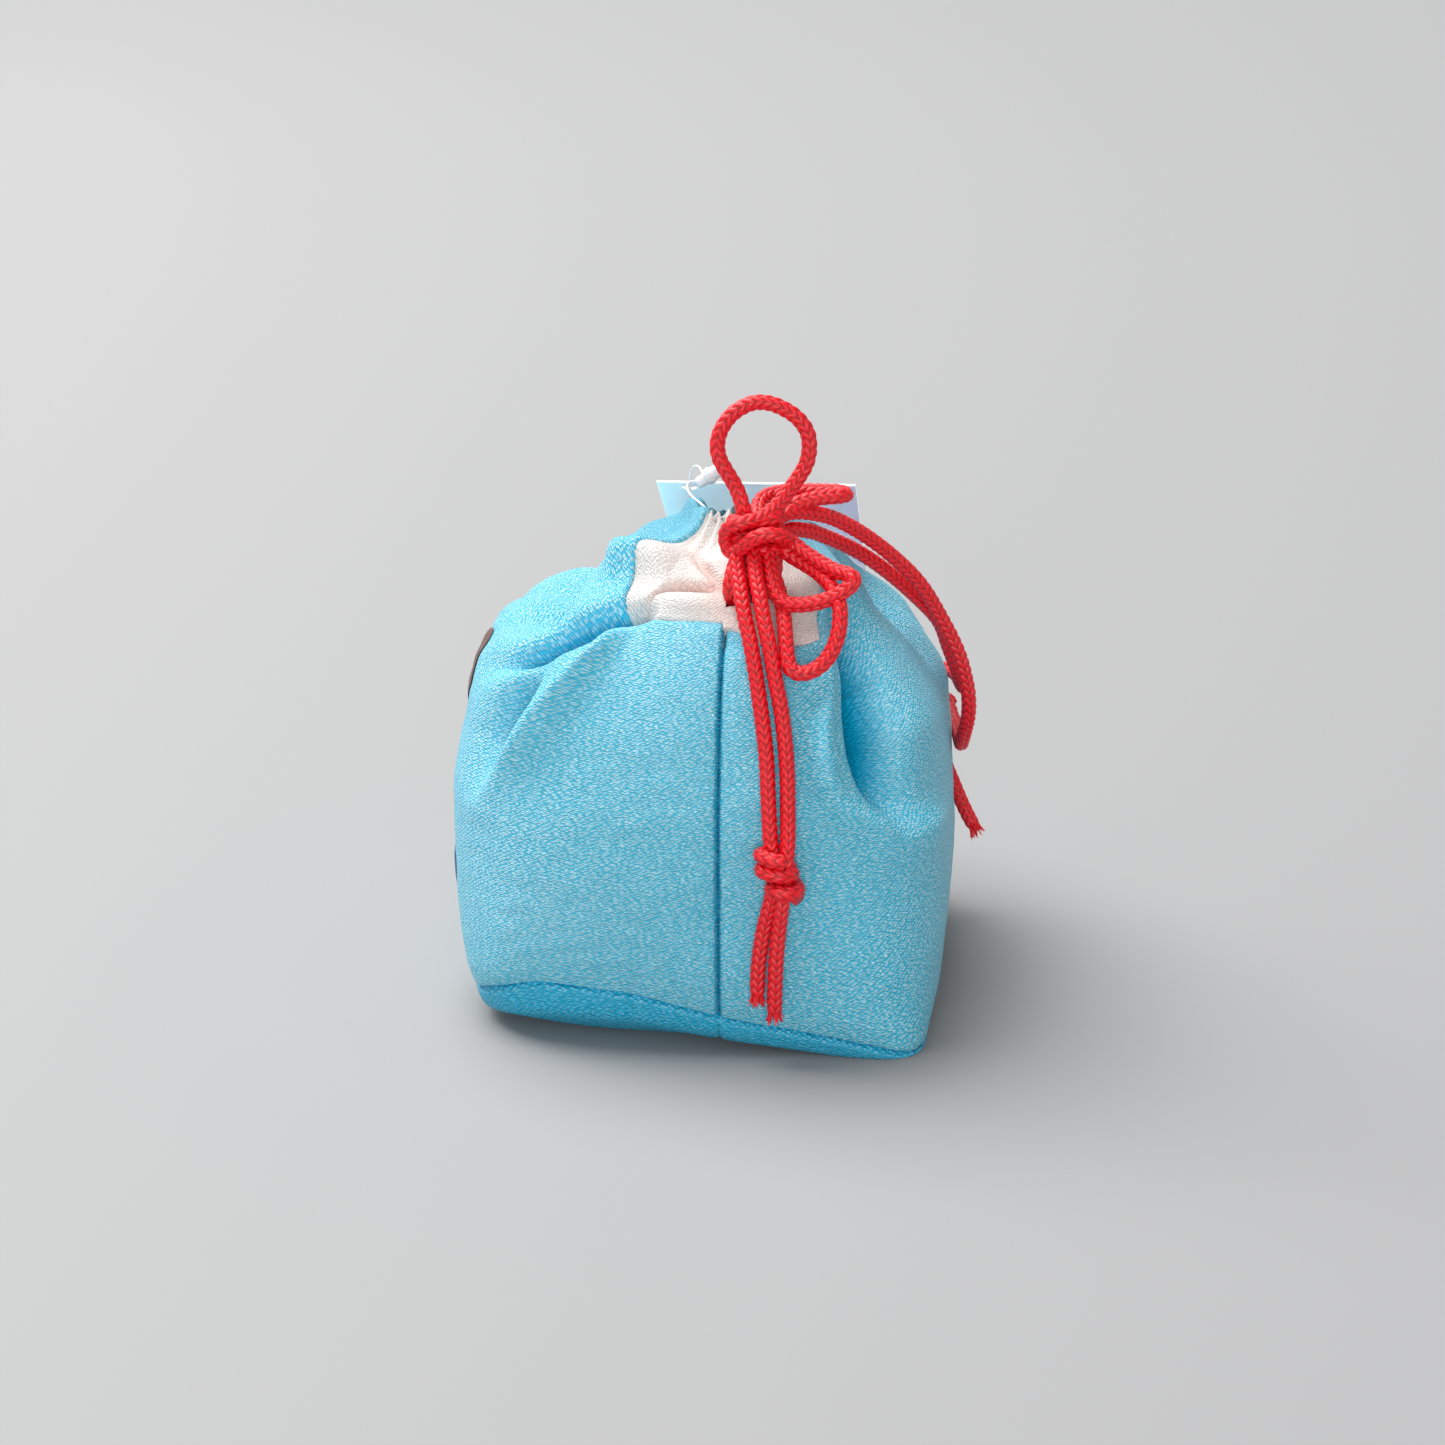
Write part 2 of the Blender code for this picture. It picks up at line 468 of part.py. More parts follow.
def smooth_route(points, step):
    """Points at even steps along a smooth curve through the given ones."""
    points = np.asarray(points, float)
    ends = np.vstack((2 * points[0] - points[1], points, 2 * points[-1] - points[-2]))
    t = np.linspace(0, 1, ROUTE_SAMPLES, endpoint=False)[:, None]
    parts = []
    for a, b, c, d in zip(ends[:-3], ends[1:-2], ends[2:-1], ends[3:]):
        parts.append((2 * b + (c - a) * t + (2 * a - 5 * b + 4 * c - d) * t**2 + (3 * b - a - 3 * c + d) * t**3) / 2)
    fine = np.vstack(parts + [points[-1:]])
    run = np.concatenate(((0,), np.cumsum(np.linalg.norm(np.diff(fine, axis=0), axis=1))))
    places = np.linspace(0, run[-1], max(3, round(run[-1] / step) + 1))
    return np.stack([np.interp(places, run, fine[:, k]) for k in range(3)], -1)


def tube(name, points, diameter, material):
    curve = bpy.data.curves.new(name, "CURVE")
    curve.dimensions = "3D"
    curve.bevel_depth = diameter / 2
    curve.bevel_resolution = 2
    curve.use_fill_caps = True
    spline = curve.splines.new("POLY")
    spline.points.add(len(points) - 1)
    for point, place in zip(spline.points, points):
        point.co = (*place, 1)
    return place_piece(name, curve, material)


def drawcord(name):
    """A cord from the knot into the slot, round the pouch in its channel and out to the knot."""
    row, start, end, way_in, way_out = DRAWCORDS[name]
    depth = OUTER_CLOTH + LAYER_GAP + FACING_CLOTH + CHANNEL_GAP + CORD_DIAMETER / 2
    turns = np.linspace(start, end - 360, CHANNEL_CORD_POINTS)
    channel = wall_point(turns, row, depth)
    route = np.vstack((np.array(way_in) * MM, channel, np.array(way_out) * MM))
    tube(name, smooth_route(route, DRAWCORD_POINT_STEP), CORD_DIAMETER, CORD)


def wound_knot(name, centre, radii, turns):
    """Close turns of cord round an upright axis."""
    count = round(turns * KNOT_POINTS_PER_TURN) + 1
    angle = np.linspace(0, turns * math.tau, count)
    rise = np.linspace(-0.5, 0.5, count) * turns * KNOT_PITCH
    points = np.stack((radii[0] * np.cos(angle), radii[1] * np.sin(angle), rise), -1) + centre
    tube(name, points, CORD_DIAMETER, CORD)


def box_mesh(name, size):
    shape = bmesh.new()
    bmesh.ops.create_cube(shape, size=1)
    bmesh.ops.scale(shape, vec=size, verts=shape.verts)
    mesh = bpy.data.meshes.new(name)
    shape.to_mesh(mesh)
    shape.free()
    return mesh


def tag_edge():
    """The card's top edge beside its hole, as high as the card needs to clear the shoulder."""
    turn, row = np.meshgrid(np.linspace(90, 270, TAG_SAMPLES), np.linspace(GATHER_ROWS[0], 1, TAG_SAMPLES))
    x, y, z = np.moveaxis(wall_point(turn, row), -1, 0)
    away = TAG_PLACE[0] - x
    under = (away > 0) & (np.abs(y - TAG_PLACE[1] - TAG_REACH_BACK) < TAG_WIDTH / 2)
    slope = math.radians(TAG_SLOPE)
    rise = np.where(under, z + away * math.tan(slope), 0).max()
    return np.array((*TAG_PLACE, rise + TAG_CLEARANCE / math.cos(slope)))


def hang_tag(edge):
    """A card with a round hole, its near top edge on the line that it swings about."""
    mesh = box_mesh("hang_tag", (TAG_LENGTH, TAG_WIDTH, TAG_THICKNESS))
    for vertex in mesh.vertices:
        vertex.co.x -= TAG_LENGTH / 2
        vertex.co.y += TAG_REACH_BACK
        vertex.co.z += TAG_THICKNESS / 2
    tag = place_piece("hang_tag", mesh, CARD)
    tag.location = edge
    tag.rotation_euler = (0, -math.radians(TAG_SLOPE), 0)
    bpy.ops.mesh.primitive_cylinder_add(vertices=20, radius=TAG_HOLE_DIAMETER / 2, depth=2 * OVERRUN)
    punch = bpy.context.object
    punch.name = "hole_cutter"
    punch.location = (-TAG_HOLE_INSET, 0, 0)
    punch.parent = tag
    punch.hide_render = True
    punch.display_type = "WIRE"
    for old in punch.users_collection:
        old.objects.unlink(punch)
    CUTTERS.objects.link(punch)
    cut = tag.modifiers.new("hole", "BOOLEAN")
    cut.operation = "DIFFERENCE"
    cut.object = punch


def tag_lock(edge):
    lock = place_piece("tag_lock", box_mesh("tag_lock", LOCK_SIZE), NYLON)
    lock.location = edge + LOCK_OFFSET
    rounding = lock.modifiers.new("rounding", "BEVEL")
    rounding.width = LOCK_ROUNDING
    rounding.segments = 2


def patch(name, centre, half_size, power, material):
    """A thin sewn shape that follows the front panel, in rings about its middle."""
    angle = np.linspace(0, math.tau, PATCH_SECTORS + 1)
    c, s = np.cos(angle), np.sin(angle)
    reach = (np.abs(c) ** power + np.abs(s) ** power) ** (-1 / power)
    ring = np.linspace(0, 1, PATCH_RINGS + 1)[:, None]
    turn = centre[0] - ring * reach * c * half_size[0] / (GIRTH_SHARE * POUCH_HEIGHT / 360)
    row = centre[1] + ring * reach * s * half_size[1] / (WALL_RUN_SHARE * POUCH_HEIGHT)
    keep = np.ones((PATCH_RINGS, PATCH_SECTORS), bool)
    mesh = sheet_mesh(name, wall_point(turn, row, -PATCH_LIFT), keep, closed=True)
    thicken(place_piece(name, mesh, material), PATCH_CLOTH, 1)


def main():
    for side in SIDES:
        outer_panel(side)
        lining_panel(side)
        facings(side)
    for name in DRAWCORDS:
        drawcord(name)
    for name, route in CORD_ROUTES.items():
        tube(name, smooth_route(np.array(route) * MM, CORD_POINT_STEP), CORD_DIAMETER, CORD)
    wound_knot("bow_knot", BOW_KNOT_CENTRE, BOW_KNOT_RADII, BOW_KNOT_TURNS)
    wound_knot("front_tail_knot", FRONT_KNOT_CENTRE, TAIL_KNOT_RADII, TAIL_KNOT_TURNS)
    wound_knot("back_tail_knot", BACK_KNOT_CENTRE, TAIL_KNOT_RADII, TAIL_KNOT_TURNS)
    edge = tag_edge()
    for name, route in THREAD_ROUTES.items():
        tube(name, smooth_route(np.array(route) * MM + edge, THREAD_POINT_STEP), THREAD_DIAMETER, NYLON)
    hang_tag(edge)
    tag_lock(edge)
    patch("leaf_patch", LEAF_CENTRE, LEAF_HALF_SIZE, LEAF_POWER, BROWN)
    patch("dot_patch", DOT_CENTRE, DOT_HALF_SIZE, DOT_POWER, BLUE)


remove_old_objects()
PIECES = make_collection("drawstring_pouch")
CUTTERS = make_collection("cutters")
SIDES = {"front": -1, "back": 1}
CREPE = make_material("light_blue_crepe", (0.16, 0.56, 0.76), 0.62, sheen=0.3)
LINING = make_material("white_lining", (0.80, 0.80, 0.78), 0.70)
FACING = make_material("white_crepe", (0.84, 0.83, 0.81), 0.66, sheen=0.2)
CORD = make_material("red_cord", (0.72, 0.012, 0.03), 0.42, sheen=0.2)
CARD = make_material("pale_blue_card", (0.26, 0.52, 0.68), 0.38)
NYLON = make_material("clear_nylon", (0.86, 0.87, 0.88), 0.30)
BROWN = make_material("brown_thread", (0.10, 0.035, 0.03), 0.55, sheen=0.2)
BLUE = make_material("blue_thread", (0.01, 0.12, 0.42), 0.50, sheen=0.2)
main()
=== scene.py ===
# %% [markdown]
# # A drawstring pouch, from its CAD frame to a finished picture
#
# The frame gives the solids of the pouch. This script dresses them: it makes fine cloth,
# braided cord, a card tag and nylon, each from a formula, and lights them. Lengths are in
# metres and turns in degrees. A place on the wall is given by its turn round the pouch, from
# 0 at the seam under the bow, through -90 at the front and 90 at the back, and by its row,
# from 0 at the middle of the bottom to 1 at the mouth.

import math

import bpy
import numpy as np
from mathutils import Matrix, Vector


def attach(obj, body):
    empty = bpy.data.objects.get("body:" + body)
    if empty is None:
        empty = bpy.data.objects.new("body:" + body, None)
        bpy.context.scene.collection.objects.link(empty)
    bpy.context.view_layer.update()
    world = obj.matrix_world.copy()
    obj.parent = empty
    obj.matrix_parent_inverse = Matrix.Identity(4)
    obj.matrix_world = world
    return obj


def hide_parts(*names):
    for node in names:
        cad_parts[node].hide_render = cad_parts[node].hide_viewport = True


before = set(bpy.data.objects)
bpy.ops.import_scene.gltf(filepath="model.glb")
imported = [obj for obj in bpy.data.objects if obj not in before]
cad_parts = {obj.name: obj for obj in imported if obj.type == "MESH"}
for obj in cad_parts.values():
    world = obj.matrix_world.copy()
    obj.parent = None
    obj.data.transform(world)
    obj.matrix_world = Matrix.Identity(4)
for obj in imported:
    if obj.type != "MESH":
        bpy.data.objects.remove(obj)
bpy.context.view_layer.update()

# %% [markdown]
# ## Camera
#
# The picture is taken from beside the pouch, a little above it, with a long lens. The
# camera's place was fitted to the outline, the seam and the cords in the photograph.

# %%
AZIMUTH, ELEVATION, LENS, DISTANCE = 95.0, 17.0, 85.0, 0.74
TARGET = Vector((0, 0.0027, 0.0558))


def camera_direction(azimuth, elevation):
    a, e = math.radians(azimuth), math.radians(elevation)
    return Vector((math.sin(a) * math.cos(e), -math.cos(a) * math.cos(e), math.sin(e)))


camera = bpy.data.objects.new("camera", bpy.data.cameras.new("camera"))
bpy.context.scene.collection.objects.link(camera)
back = camera_direction(AZIMUTH, ELEVATION)
camera.data.lens, camera.data.sensor_width = LENS, 36.0
camera.location = TARGET + back * DISTANCE
camera.rotation_mode = "QUATERNION"
camera.rotation_quaternion = (-back).to_track_quat("-Z", "Y")
bpy.context.scene.camera = camera
print("camera at", np.round(camera.location, 4))

# %% [markdown]
# ## Surfaces from formulas
#
# Every new piece is a grid of points from a formula, so one function turns a grid into a
# mesh. The grid may close round its columns, cells may be left out, and a tube has a fan of
# triangles on each end. The texture coordinates are in metres along the cloth or the cord,
# so that a weave keeps its real size.

# %%
def grid_faces(rows, columns, closed=False, keep=None):
    """Corner indices of a grid's cells, anticlockwise seen from outside."""
    index = np.arange(rows * columns).reshape(rows, columns)
    right = np.roll(index, -1, axis=1) if closed else index[:, 1:]
    left = index if closed else index[:, :-1]
    faces = np.stack((left[:-1], right[:-1], right[1:], left[1:]), -1)
    return faces[keep] if keep is not None else faces.reshape(-1, 4)


def tube_faces(rows, corners):
    """Cells and end fans of a tube, whose points are its rings and then its two end middles."""
    ring = np.arange(corners)
    last, start = ring + (rows - 1) * corners, rows * corners
    fans = (np.stack((np.roll(ring, -1), ring, np.full(corners, start)), -1),
            np.stack((last, np.roll(last, -1), np.full(corners, start + 1)), -1))
    return grid_faces(rows, corners, closed=True), np.concatenate(fans)


def make_mesh(name, points, cells, uv=None, triangles=()):
    """A smooth mesh from points, four-cornered cells and triangles, without unused points."""
    corners = np.concatenate((cells.ravel(), np.asarray(triangles, int).ravel()))
    starts = np.concatenate((np.arange(len(cells)) * 4, cells.size + np.arange(len(triangles)) * 3))
    used, renumbered = np.unique(corners, return_inverse=True)
    mesh = bpy.data.meshes.new(name)
    mesh.vertices.add(len(used))
    mesh.vertices.foreach_set("co", points[used].astype(np.float32).ravel())
    mesh.loops.add(len(corners))
    mesh.polygons.add(len(starts))
    mesh.loops.foreach_set("vertex_index", renumbered.ravel().astype(np.int32))
    mesh.polygons.foreach_set("loop_start", starts.astype(np.int32))
    mesh.polygons.foreach_set("use_smooth", np.ones(len(starts), bool))
    if uv is not None:
        layer = mesh.uv_layers.new(name="UVMap")
        layer.data.foreach_set("uv", uv[corners].astype(np.float32).ravel())
    mesh.update(calc_edges=True)
    mesh.validate()
    return mesh


def add_values(mesh, name, values):
    """Keep one number per point in the mesh, for its finish to read."""
    layer = mesh.attributes.new(name, "FLOAT", "POINT")
    layer.data.foreach_set("value", values.ravel().astype(np.float32))


def thicken(piece, thickness):
    """Give a surface the thickness of its cloth, inwards."""
    solid = piece.modifiers.new("cloth", "SOLIDIFY")
    solid.thickness, solid.offset = thickness, -1


def add_piece(name, mesh, finish, body="pouch"):
    piece = bpy.data.objects.new(name, mesh)
    bpy.context.scene.collection.objects.link(piece)
    mesh.materials.append(finish)
    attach(piece, body)
    return piece


print("a grid of 3 by 4 points has", len(grid_faces(3, 4)), "cells")

# %% [markdown]
# Shapes are blended with a few smooth curves: a step, a hill and a curve through a table.

# %%
def ease(value, start, end):
    """A smooth step from 0 at start to 1 at end."""
    t = np.clip((value - start) / (end - start), 0, 1)
    return t * t * (3 - 2 * t)


def bump(value, middle, width):
    """A smooth hill of height 1 at middle, down to 0.37 at one width away."""
    return np.exp(-(((value - middle) / width) ** 2))


def read_rows(table, place):
    """Read a table at places between its rows, on a smooth curve that never overshoots."""
    table = np.asarray(table, dtype=float)
    x, y = table[:, 0], table[:, 1:]
    step = np.diff(x)[:, None]
    slope = np.diff(y, axis=0) / step
    before, after = slope[:-1], slope[1:]
    same_way = before * after > 0
    safe_before, safe_after = np.where(same_way, before, 1), np.where(same_way, after, 1)
    weight_before, weight_after = 2 * step[1:] + step[:-1], step[1:] + 2 * step[:-1]
    mean = (weight_before + weight_after) / (weight_before / safe_before + weight_after / safe_after)
    lean = np.vstack((slope[:1], np.where(same_way, mean, 0), slope[-1:]))
    place = np.clip(place, x[0], x[-1])
    k = np.clip(np.searchsorted(x, place, side="right") - 1, 0, len(x) - 2)
    width = (x[k + 1] - x[k])[..., None]
    t = (place - x[k])[..., None] / width
    ahead = 3 * t**2 - 2 * t**3
    lean_in, lean_out = t**3 - 2 * t**2 + t, t**3 - t**2
    return (1 - ahead) * y[k] + ahead * y[k + 1] + width * (lean_in * lean[k] + lean_out * lean[k + 1])


print("halfway up a step:", ease(0.5, 0, 1))

# %% [markdown]
# ## Node materials
#
# The finishes are built from a few nodes each. `Nodes` keeps the calls short: `new` makes a
# node, joins its inputs to earlier outputs or sets them, and gives back the output.

# %%
class Nodes:
    def __init__(self, name):
        self.material = bpy.data.materials.new(name)
        self.material.use_nodes = True
        self.tree = self.material.node_tree
        self.shader = self.tree.nodes["Principled BSDF"]

    def new(self, kind, output=0, inputs=(), **settings):
        node = self.tree.nodes.new("ShaderNode" + kind)
        for key, value in settings.items():
            setattr(node, key, value)
        for key, value in dict(inputs).items():
            self.join(node.inputs[key], value)
        return node.outputs[output]

    def join(self, socket, value):
        if isinstance(value, bpy.types.NodeSocket):
            self.tree.links.new(value, socket)
        else:
            socket.default_value = value

    def math(self, operation, a, b=0.0, c=0.0):
        return self.new("Math", 0, {0: a, 1: b, 2: c}, operation=operation)

    def spread(self, value, from_low, from_high, to_low, to_high):
        limits = {"From Min": from_low, "From Max": from_high, "To Min": to_low, "To Max": to_high}
        return self.new("MapRange", 0, {"Value": value, **limits})

    def blend(self, share, a, b, blend_type="MIX"):
        node = self.tree.nodes.new("ShaderNodeMix")
        node.data_type, node.blend_type = "RGBA", blend_type
        self.join(node.inputs[0], share)
        self.join(node.inputs[6], a)
        self.join(node.inputs[7], b)
        return node.outputs[2]

    def finish(self, **inputs):
        for key, value in inputs.items():
            self.join(self.shader.inputs[key.replace("_", " ").title().replace("Ior", "IOR")], value)
        return self.material


def linear(red, green, blue):
    """A colour in 0 to 255 steps as the linear values that a shader takes."""
    c = np.array((red, green, blue)) / 255
    return (*np.where(c <= 0.04045, c / 12.92, ((c + 0.055) / 1.055) ** 2.4), 1.0)


print("one step of grey is", round(linear(128, 128, 128)[0], 3))

# %% [markdown]
# ## Crinkled cloth
#
# The cloth is a crepe: its surface is a close pattern of small leaning grains, about 0.9 mm
# long and 0.4 mm wide, that catch the light one by one. Two layers of stretched cells lean
# the same way, a wavy warp keeps them from lining up, and a bump turns them into relief. The
# crests are pale, partly as a painted glint, and the hollows saturated. A painted shade value
# on the mesh, from 0 on the open cloth to 1 in a deep fold, leads the colour over to a deep
# one and takes the gloss away, as light that bounces between two walls of a fold does.

# %%
GRAIN_LAYERS = ((0.50, 1080.0, 2300.0, 0.72), (0.42, 1900.0, 4100.0, 0.28))
WAVE = 0.0003


def crepe(name, crest_and_glint, hollow, deep, relief=1.0):
    """A layer of grains has its lean in radians, its grains per metre both ways, its share."""
    n = Nodes(name)
    uv = n.new("UVMap", uv_map="UVMap")
    warp = n.new("TexNoise", 1, {"Vector": uv, "Scale": 420.0, "Detail": 1.0})
    bent = n.new("VectorMath", 0, {0: warp, 1: (0.5, 0.5, 0.5)}, operation="SUBTRACT")
    bent = n.new("VectorMath", 0, {0: bent, 1: (WAVE, WAVE, 0.0)}, operation="MULTIPLY")
    bent = n.new("VectorMath", 0, {0: uv, 1: bent}, operation="ADD")
    layers = []
    for lean, along, across, share in GRAIN_LAYERS:
        turned = n.new("Mapping", 0, {"Vector": bent, "Rotation": (0, 0, lean), "Scale": (along, across, 1)})
        cells = n.new("TexVoronoi", 0, {"Vector": turned, "Scale": 1.0, "Randomness": 0.45},
                      voronoi_dimensions="2D", feature="SMOOTH_F1")
        layers.append(n.math("MULTIPLY", cells, share))
    grain = n.math("ADD", *layers)
    height = n.spread(grain, 0.12, 0.72, 1.0, 0.0)
    cloud = n.new("TexNoise", 0, {"Vector": uv, "Scale": 300.0, "Detail": 3.0})
    shade = n.math("ADD", n.math("MULTIPLY", height, 0.88), n.math("MULTIPLY", cloud, 0.14))
    # Painted glint: the highest grains take the pale crest colour.
    glint = n.spread(shade, 0.56, 0.90, 0.0, 1.0)
    colour = n.blend(glint, hollow, crest_and_glint)
    # Painted shade and bounce: where the mesh's value is high the colour goes over to the deep tone, a third
    # darker in the grain's hollows.
    painted_shade_and_bounce = n.new("Attribute", 2, attribute_name="painted_shade_and_bounce")
    shaded = n.blend(glint, (*(0.66 * tone for tone in deep[:3]), 1.0), deep)
    colour = n.blend(painted_shade_and_bounce, colour, shaded)
    gloss = n.spread(painted_shade_and_bounce, 0.0, 1.0, 0.55, 0.03)
    normal = n.new("Bump", 0, {"Height": height, "Strength": relief, "Distance": 0.00060})
    roughness = n.spread(height, 0.0, 1.0, 0.65, 0.40)
    return n.finish(base_color=colour, roughness=roughness, normal=normal, specular_ior_level=gloss, ior=1.85)


# Blue: the deep tone is painted shade and bounce, saturated blue in folds, seams and below the cross seam.
blue_cloth = crepe("blue_crepe", linear(204, 243, 252), linear(10, 184, 219), linear(0, 184, 230))
# White: the deep tone is painted warm red light, bounced from the red cords.
white_cloth = crepe("white_crepe", linear(234, 231, 228), linear(214, 209, 204), linear(244, 210, 202), 0.7)
print("cloth finishes:", blue_cloth.name, white_cloth.name)

# %% [markdown]
# ## Braided cord
#
# The cord is a round braid of eight ridges that lean left and right in turn, which makes
# columns of V stitches. The relief is in the mesh: the radius at an angle a and a distance s
# along the cord is r(a, s) = R (1 - d + d * column * stitch), where d is the relief, column
# the rounded profile across one column of stitches and stitch the rounded profile along it.
# The same product is kept as an attribute, and the finish paints shade into the gaps with it. First,
# a route is made a smooth line, with two directions across it at each point.

# %%
CORD_RADIUS = 0.0015
STITCH_LENGTH = 0.0018
COLUMNS_ROUND = 8


def smooth_route(points, step):
    """Points at even steps along a smooth curve through the given ones."""
    points = np.asarray(points, float)
    ends = np.vstack((2 * points[0] - points[1], points, 2 * points[-1] - points[-2]))
    t = np.linspace(0, 1, 40, endpoint=False)[:, None]
    parts = []
    for a, b, c, d in zip(ends[:-3], ends[1:-2], ends[2:-1], ends[3:]):
        curve = (c - a) * t + (2 * a - 5 * b + 4 * c - d) * t**2 + (3 * b - a - 3 * c + d) * t**3
        parts.append(b + curve / 2)
    fine = np.vstack(parts + [points[-1:]])
    run = np.concatenate(((0,), np.cumsum(np.linalg.norm(np.diff(fine, axis=0), axis=1))))
    places = np.linspace(0, run[-1], max(4, round(run[-1] / step) + 1))
    return np.stack([np.interp(places, run, fine[:, k]) for k in range(3)], -1), places


def soften(line, times=12):
    """Ease the kinks out of a line of close points, its two ends kept."""
    line = line.copy()
    for _ in range(times):
        line[1:-1] = line[1:-1] / 2 + (line[:-2] + line[2:]) / 4
    return line


def frames(line):
    """Two directions across a line at each point, carried along it without twisting."""
    along = np.gradient(line, axis=0)
    along /= np.linalg.norm(along, axis=1, keepdims=True)
    side = np.empty_like(line)
    first = np.cross(along[0], (0.31, 0.17, 0.93))
    side[0] = first / np.linalg.norm(first)
    for k in range(1, len(line)):
        carried = side[k - 1] - along[k] * (side[k - 1] @ along[k])
        side[k] = carried / np.linalg.norm(carried)
    return side, np.cross(along, side)


straight, places = smooth_route(((0, 0, 0), (0, 0, 0.01)), 0.001)
print("a straight centimetre in", len(places) - 1, "steps")

# %% [markdown]
# The tube is drawn in at its two ends by the shares that tips gives, on a quarter round.

# %%
def tube_mesh(name, line, run, radius, corners, relief=0.0, tips=(1.0, 1.0)):
    """A closed tube along a line. tips are the shares of the radius at its two ends."""
    side, over = frames(line)
    angle = np.linspace(0, math.tau, corners, endpoint=False)
    a, s = np.meshgrid(angle, run)
    across = a * COLUMNS_ROUND / math.tau
    within = across % 1
    lean = np.where(np.floor(across) % 2 == 0, within, 1 - within)
    along = (s / STITCH_LENGTH + 0.75 * lean) % 1
    stitch = np.sqrt((1 - 0.94 * (2 * along - 1) ** 2) * (1 - 0.7 * np.clip(1 - 3 * lean, 0, 1) ** 2))
    reach = radius * (1 - relief + relief * stitch)
    cap = radius * 1.1
    for share, away in zip(tips, (run, run[-1] - run)):
        reach *= (share + (1 - share) * np.sqrt(1 - (1 - np.clip(away / cap, 0, 1)) ** 2))[:, None]
    ring = side[:, None] * np.cos(a)[..., None] + over[:, None] * np.sin(a)[..., None]
    points = line[:, None] + ring * reach[..., None]
    points = np.vstack((points.reshape(-1, 3), line[:1], line[-1:]))
    uv = np.stack((a * radius, s), -1).reshape(-1, 2)
    cells, fans = tube_faces(len(line), corners)
    mesh = make_mesh(name, points, cells, np.vstack((uv, uv[:1], uv[-1:])), fans)
    add_values(mesh, "stitch", np.append(stitch.ravel(), (0.5, 0.5)))
    return mesh


print("stitches per centimetre:", round(0.01 / STITCH_LENGTH, 1))

# %% [markdown]
# The red of the braid is uneven from thread to thread, painted dark as shade in the gaps
# between stitches, and a fine bump stands for the threads.

# %%
def braid_finish():
    n = Nodes("red_braid")
    uv = n.new("UVMap", uv_map="UVMap")
    stitch = n.new("Attribute", 2, attribute_name="stitch")
    stretched = n.new("Mapping", 0, {"Vector": uv, "Scale": (2.2, 0.6, 1)})
    threads = n.new("TexNoise", 0, {"Vector": stretched, "Scale": 5200.0, "Detail": 2.0})
    patch = n.new("TexNoise", 0, {"Vector": uv, "Scale": 700.0, "Detail": 1.0})
    shade = n.math("ADD", n.math("MULTIPLY", threads, 0.5), n.math("MULTIPLY", patch, 0.5))
    colour = n.blend(n.spread(shade, 0.3, 0.7, 0.0, 1.0), linear(214, 0, 16), linear(240, 16, 38))
    # Painted shade: where the stitch relief is low, in the gaps, the red goes dark.
    colour = n.blend(n.spread(stitch, 0.30, 0.85, 0.0, 1.0), linear(160, 0, 6), colour)
    normal = n.new("Bump", 0, {"Height": threads, "Strength": 0.5, "Distance": 0.00012})
    roughness = n.spread(threads, 0.3, 0.7, 0.22, 0.48)
    return n.finish(base_color=colour, roughness=roughness, normal=normal, specular_ior_level=0.5)


red_braid = braid_finish()
BRAID_CORNERS, BRAID_RELIEF = COLUMNS_ROUND * 7, 0.30


def braid(name, route, tips=(1.0, 1.0), cut=0.0):
    """A braided cord along a route in millimetres, less what is cut from its end.

    Gives the piece, its line and its length.
    """
    line, run = smooth_route(np.array(route) / 1000, STITCH_LENGTH / 10)
    line = soften(line)
    run = np.concatenate(((0,), np.cumsum(np.linalg.norm(np.diff(line, axis=0), axis=1))))
    kept = run <= run[-1] - cut
    line, run = line[kept], run[kept]
    mesh = tube_mesh(name, line, run, CORD_RADIUS * 1.09, BRAID_CORNERS, BRAID_RELIEF, tips)
    return add_piece(name, mesh, red_braid), line, run[-1]


print("cord finish:", red_braid.name)

# %% [markdown]
# ## The wall
#
# The wall is the same formula as in the CAD: squared ovals that are shifted and lifted as
# the stuffed pouch leans, then pushed in and out along its creases. Here it gets what a
# coarse solid leaves out: the seam grooves, the rolled edges of the side notches, the puffs
# of the drawn-in cloth and a slight crumple. A row of `LEVELS` has a row of the wall, its
# height, its half sizes towards the bow, away from it, to the front and to the back, all as
# shares, and its squareness. A point of a round crease has its turn, row, depth, and width
# below and above. A point of a rising crease has its row, turn, depth, and width on either
# side. Depths and widths are shares of the pouch's height, and a depth above zero is a hill.

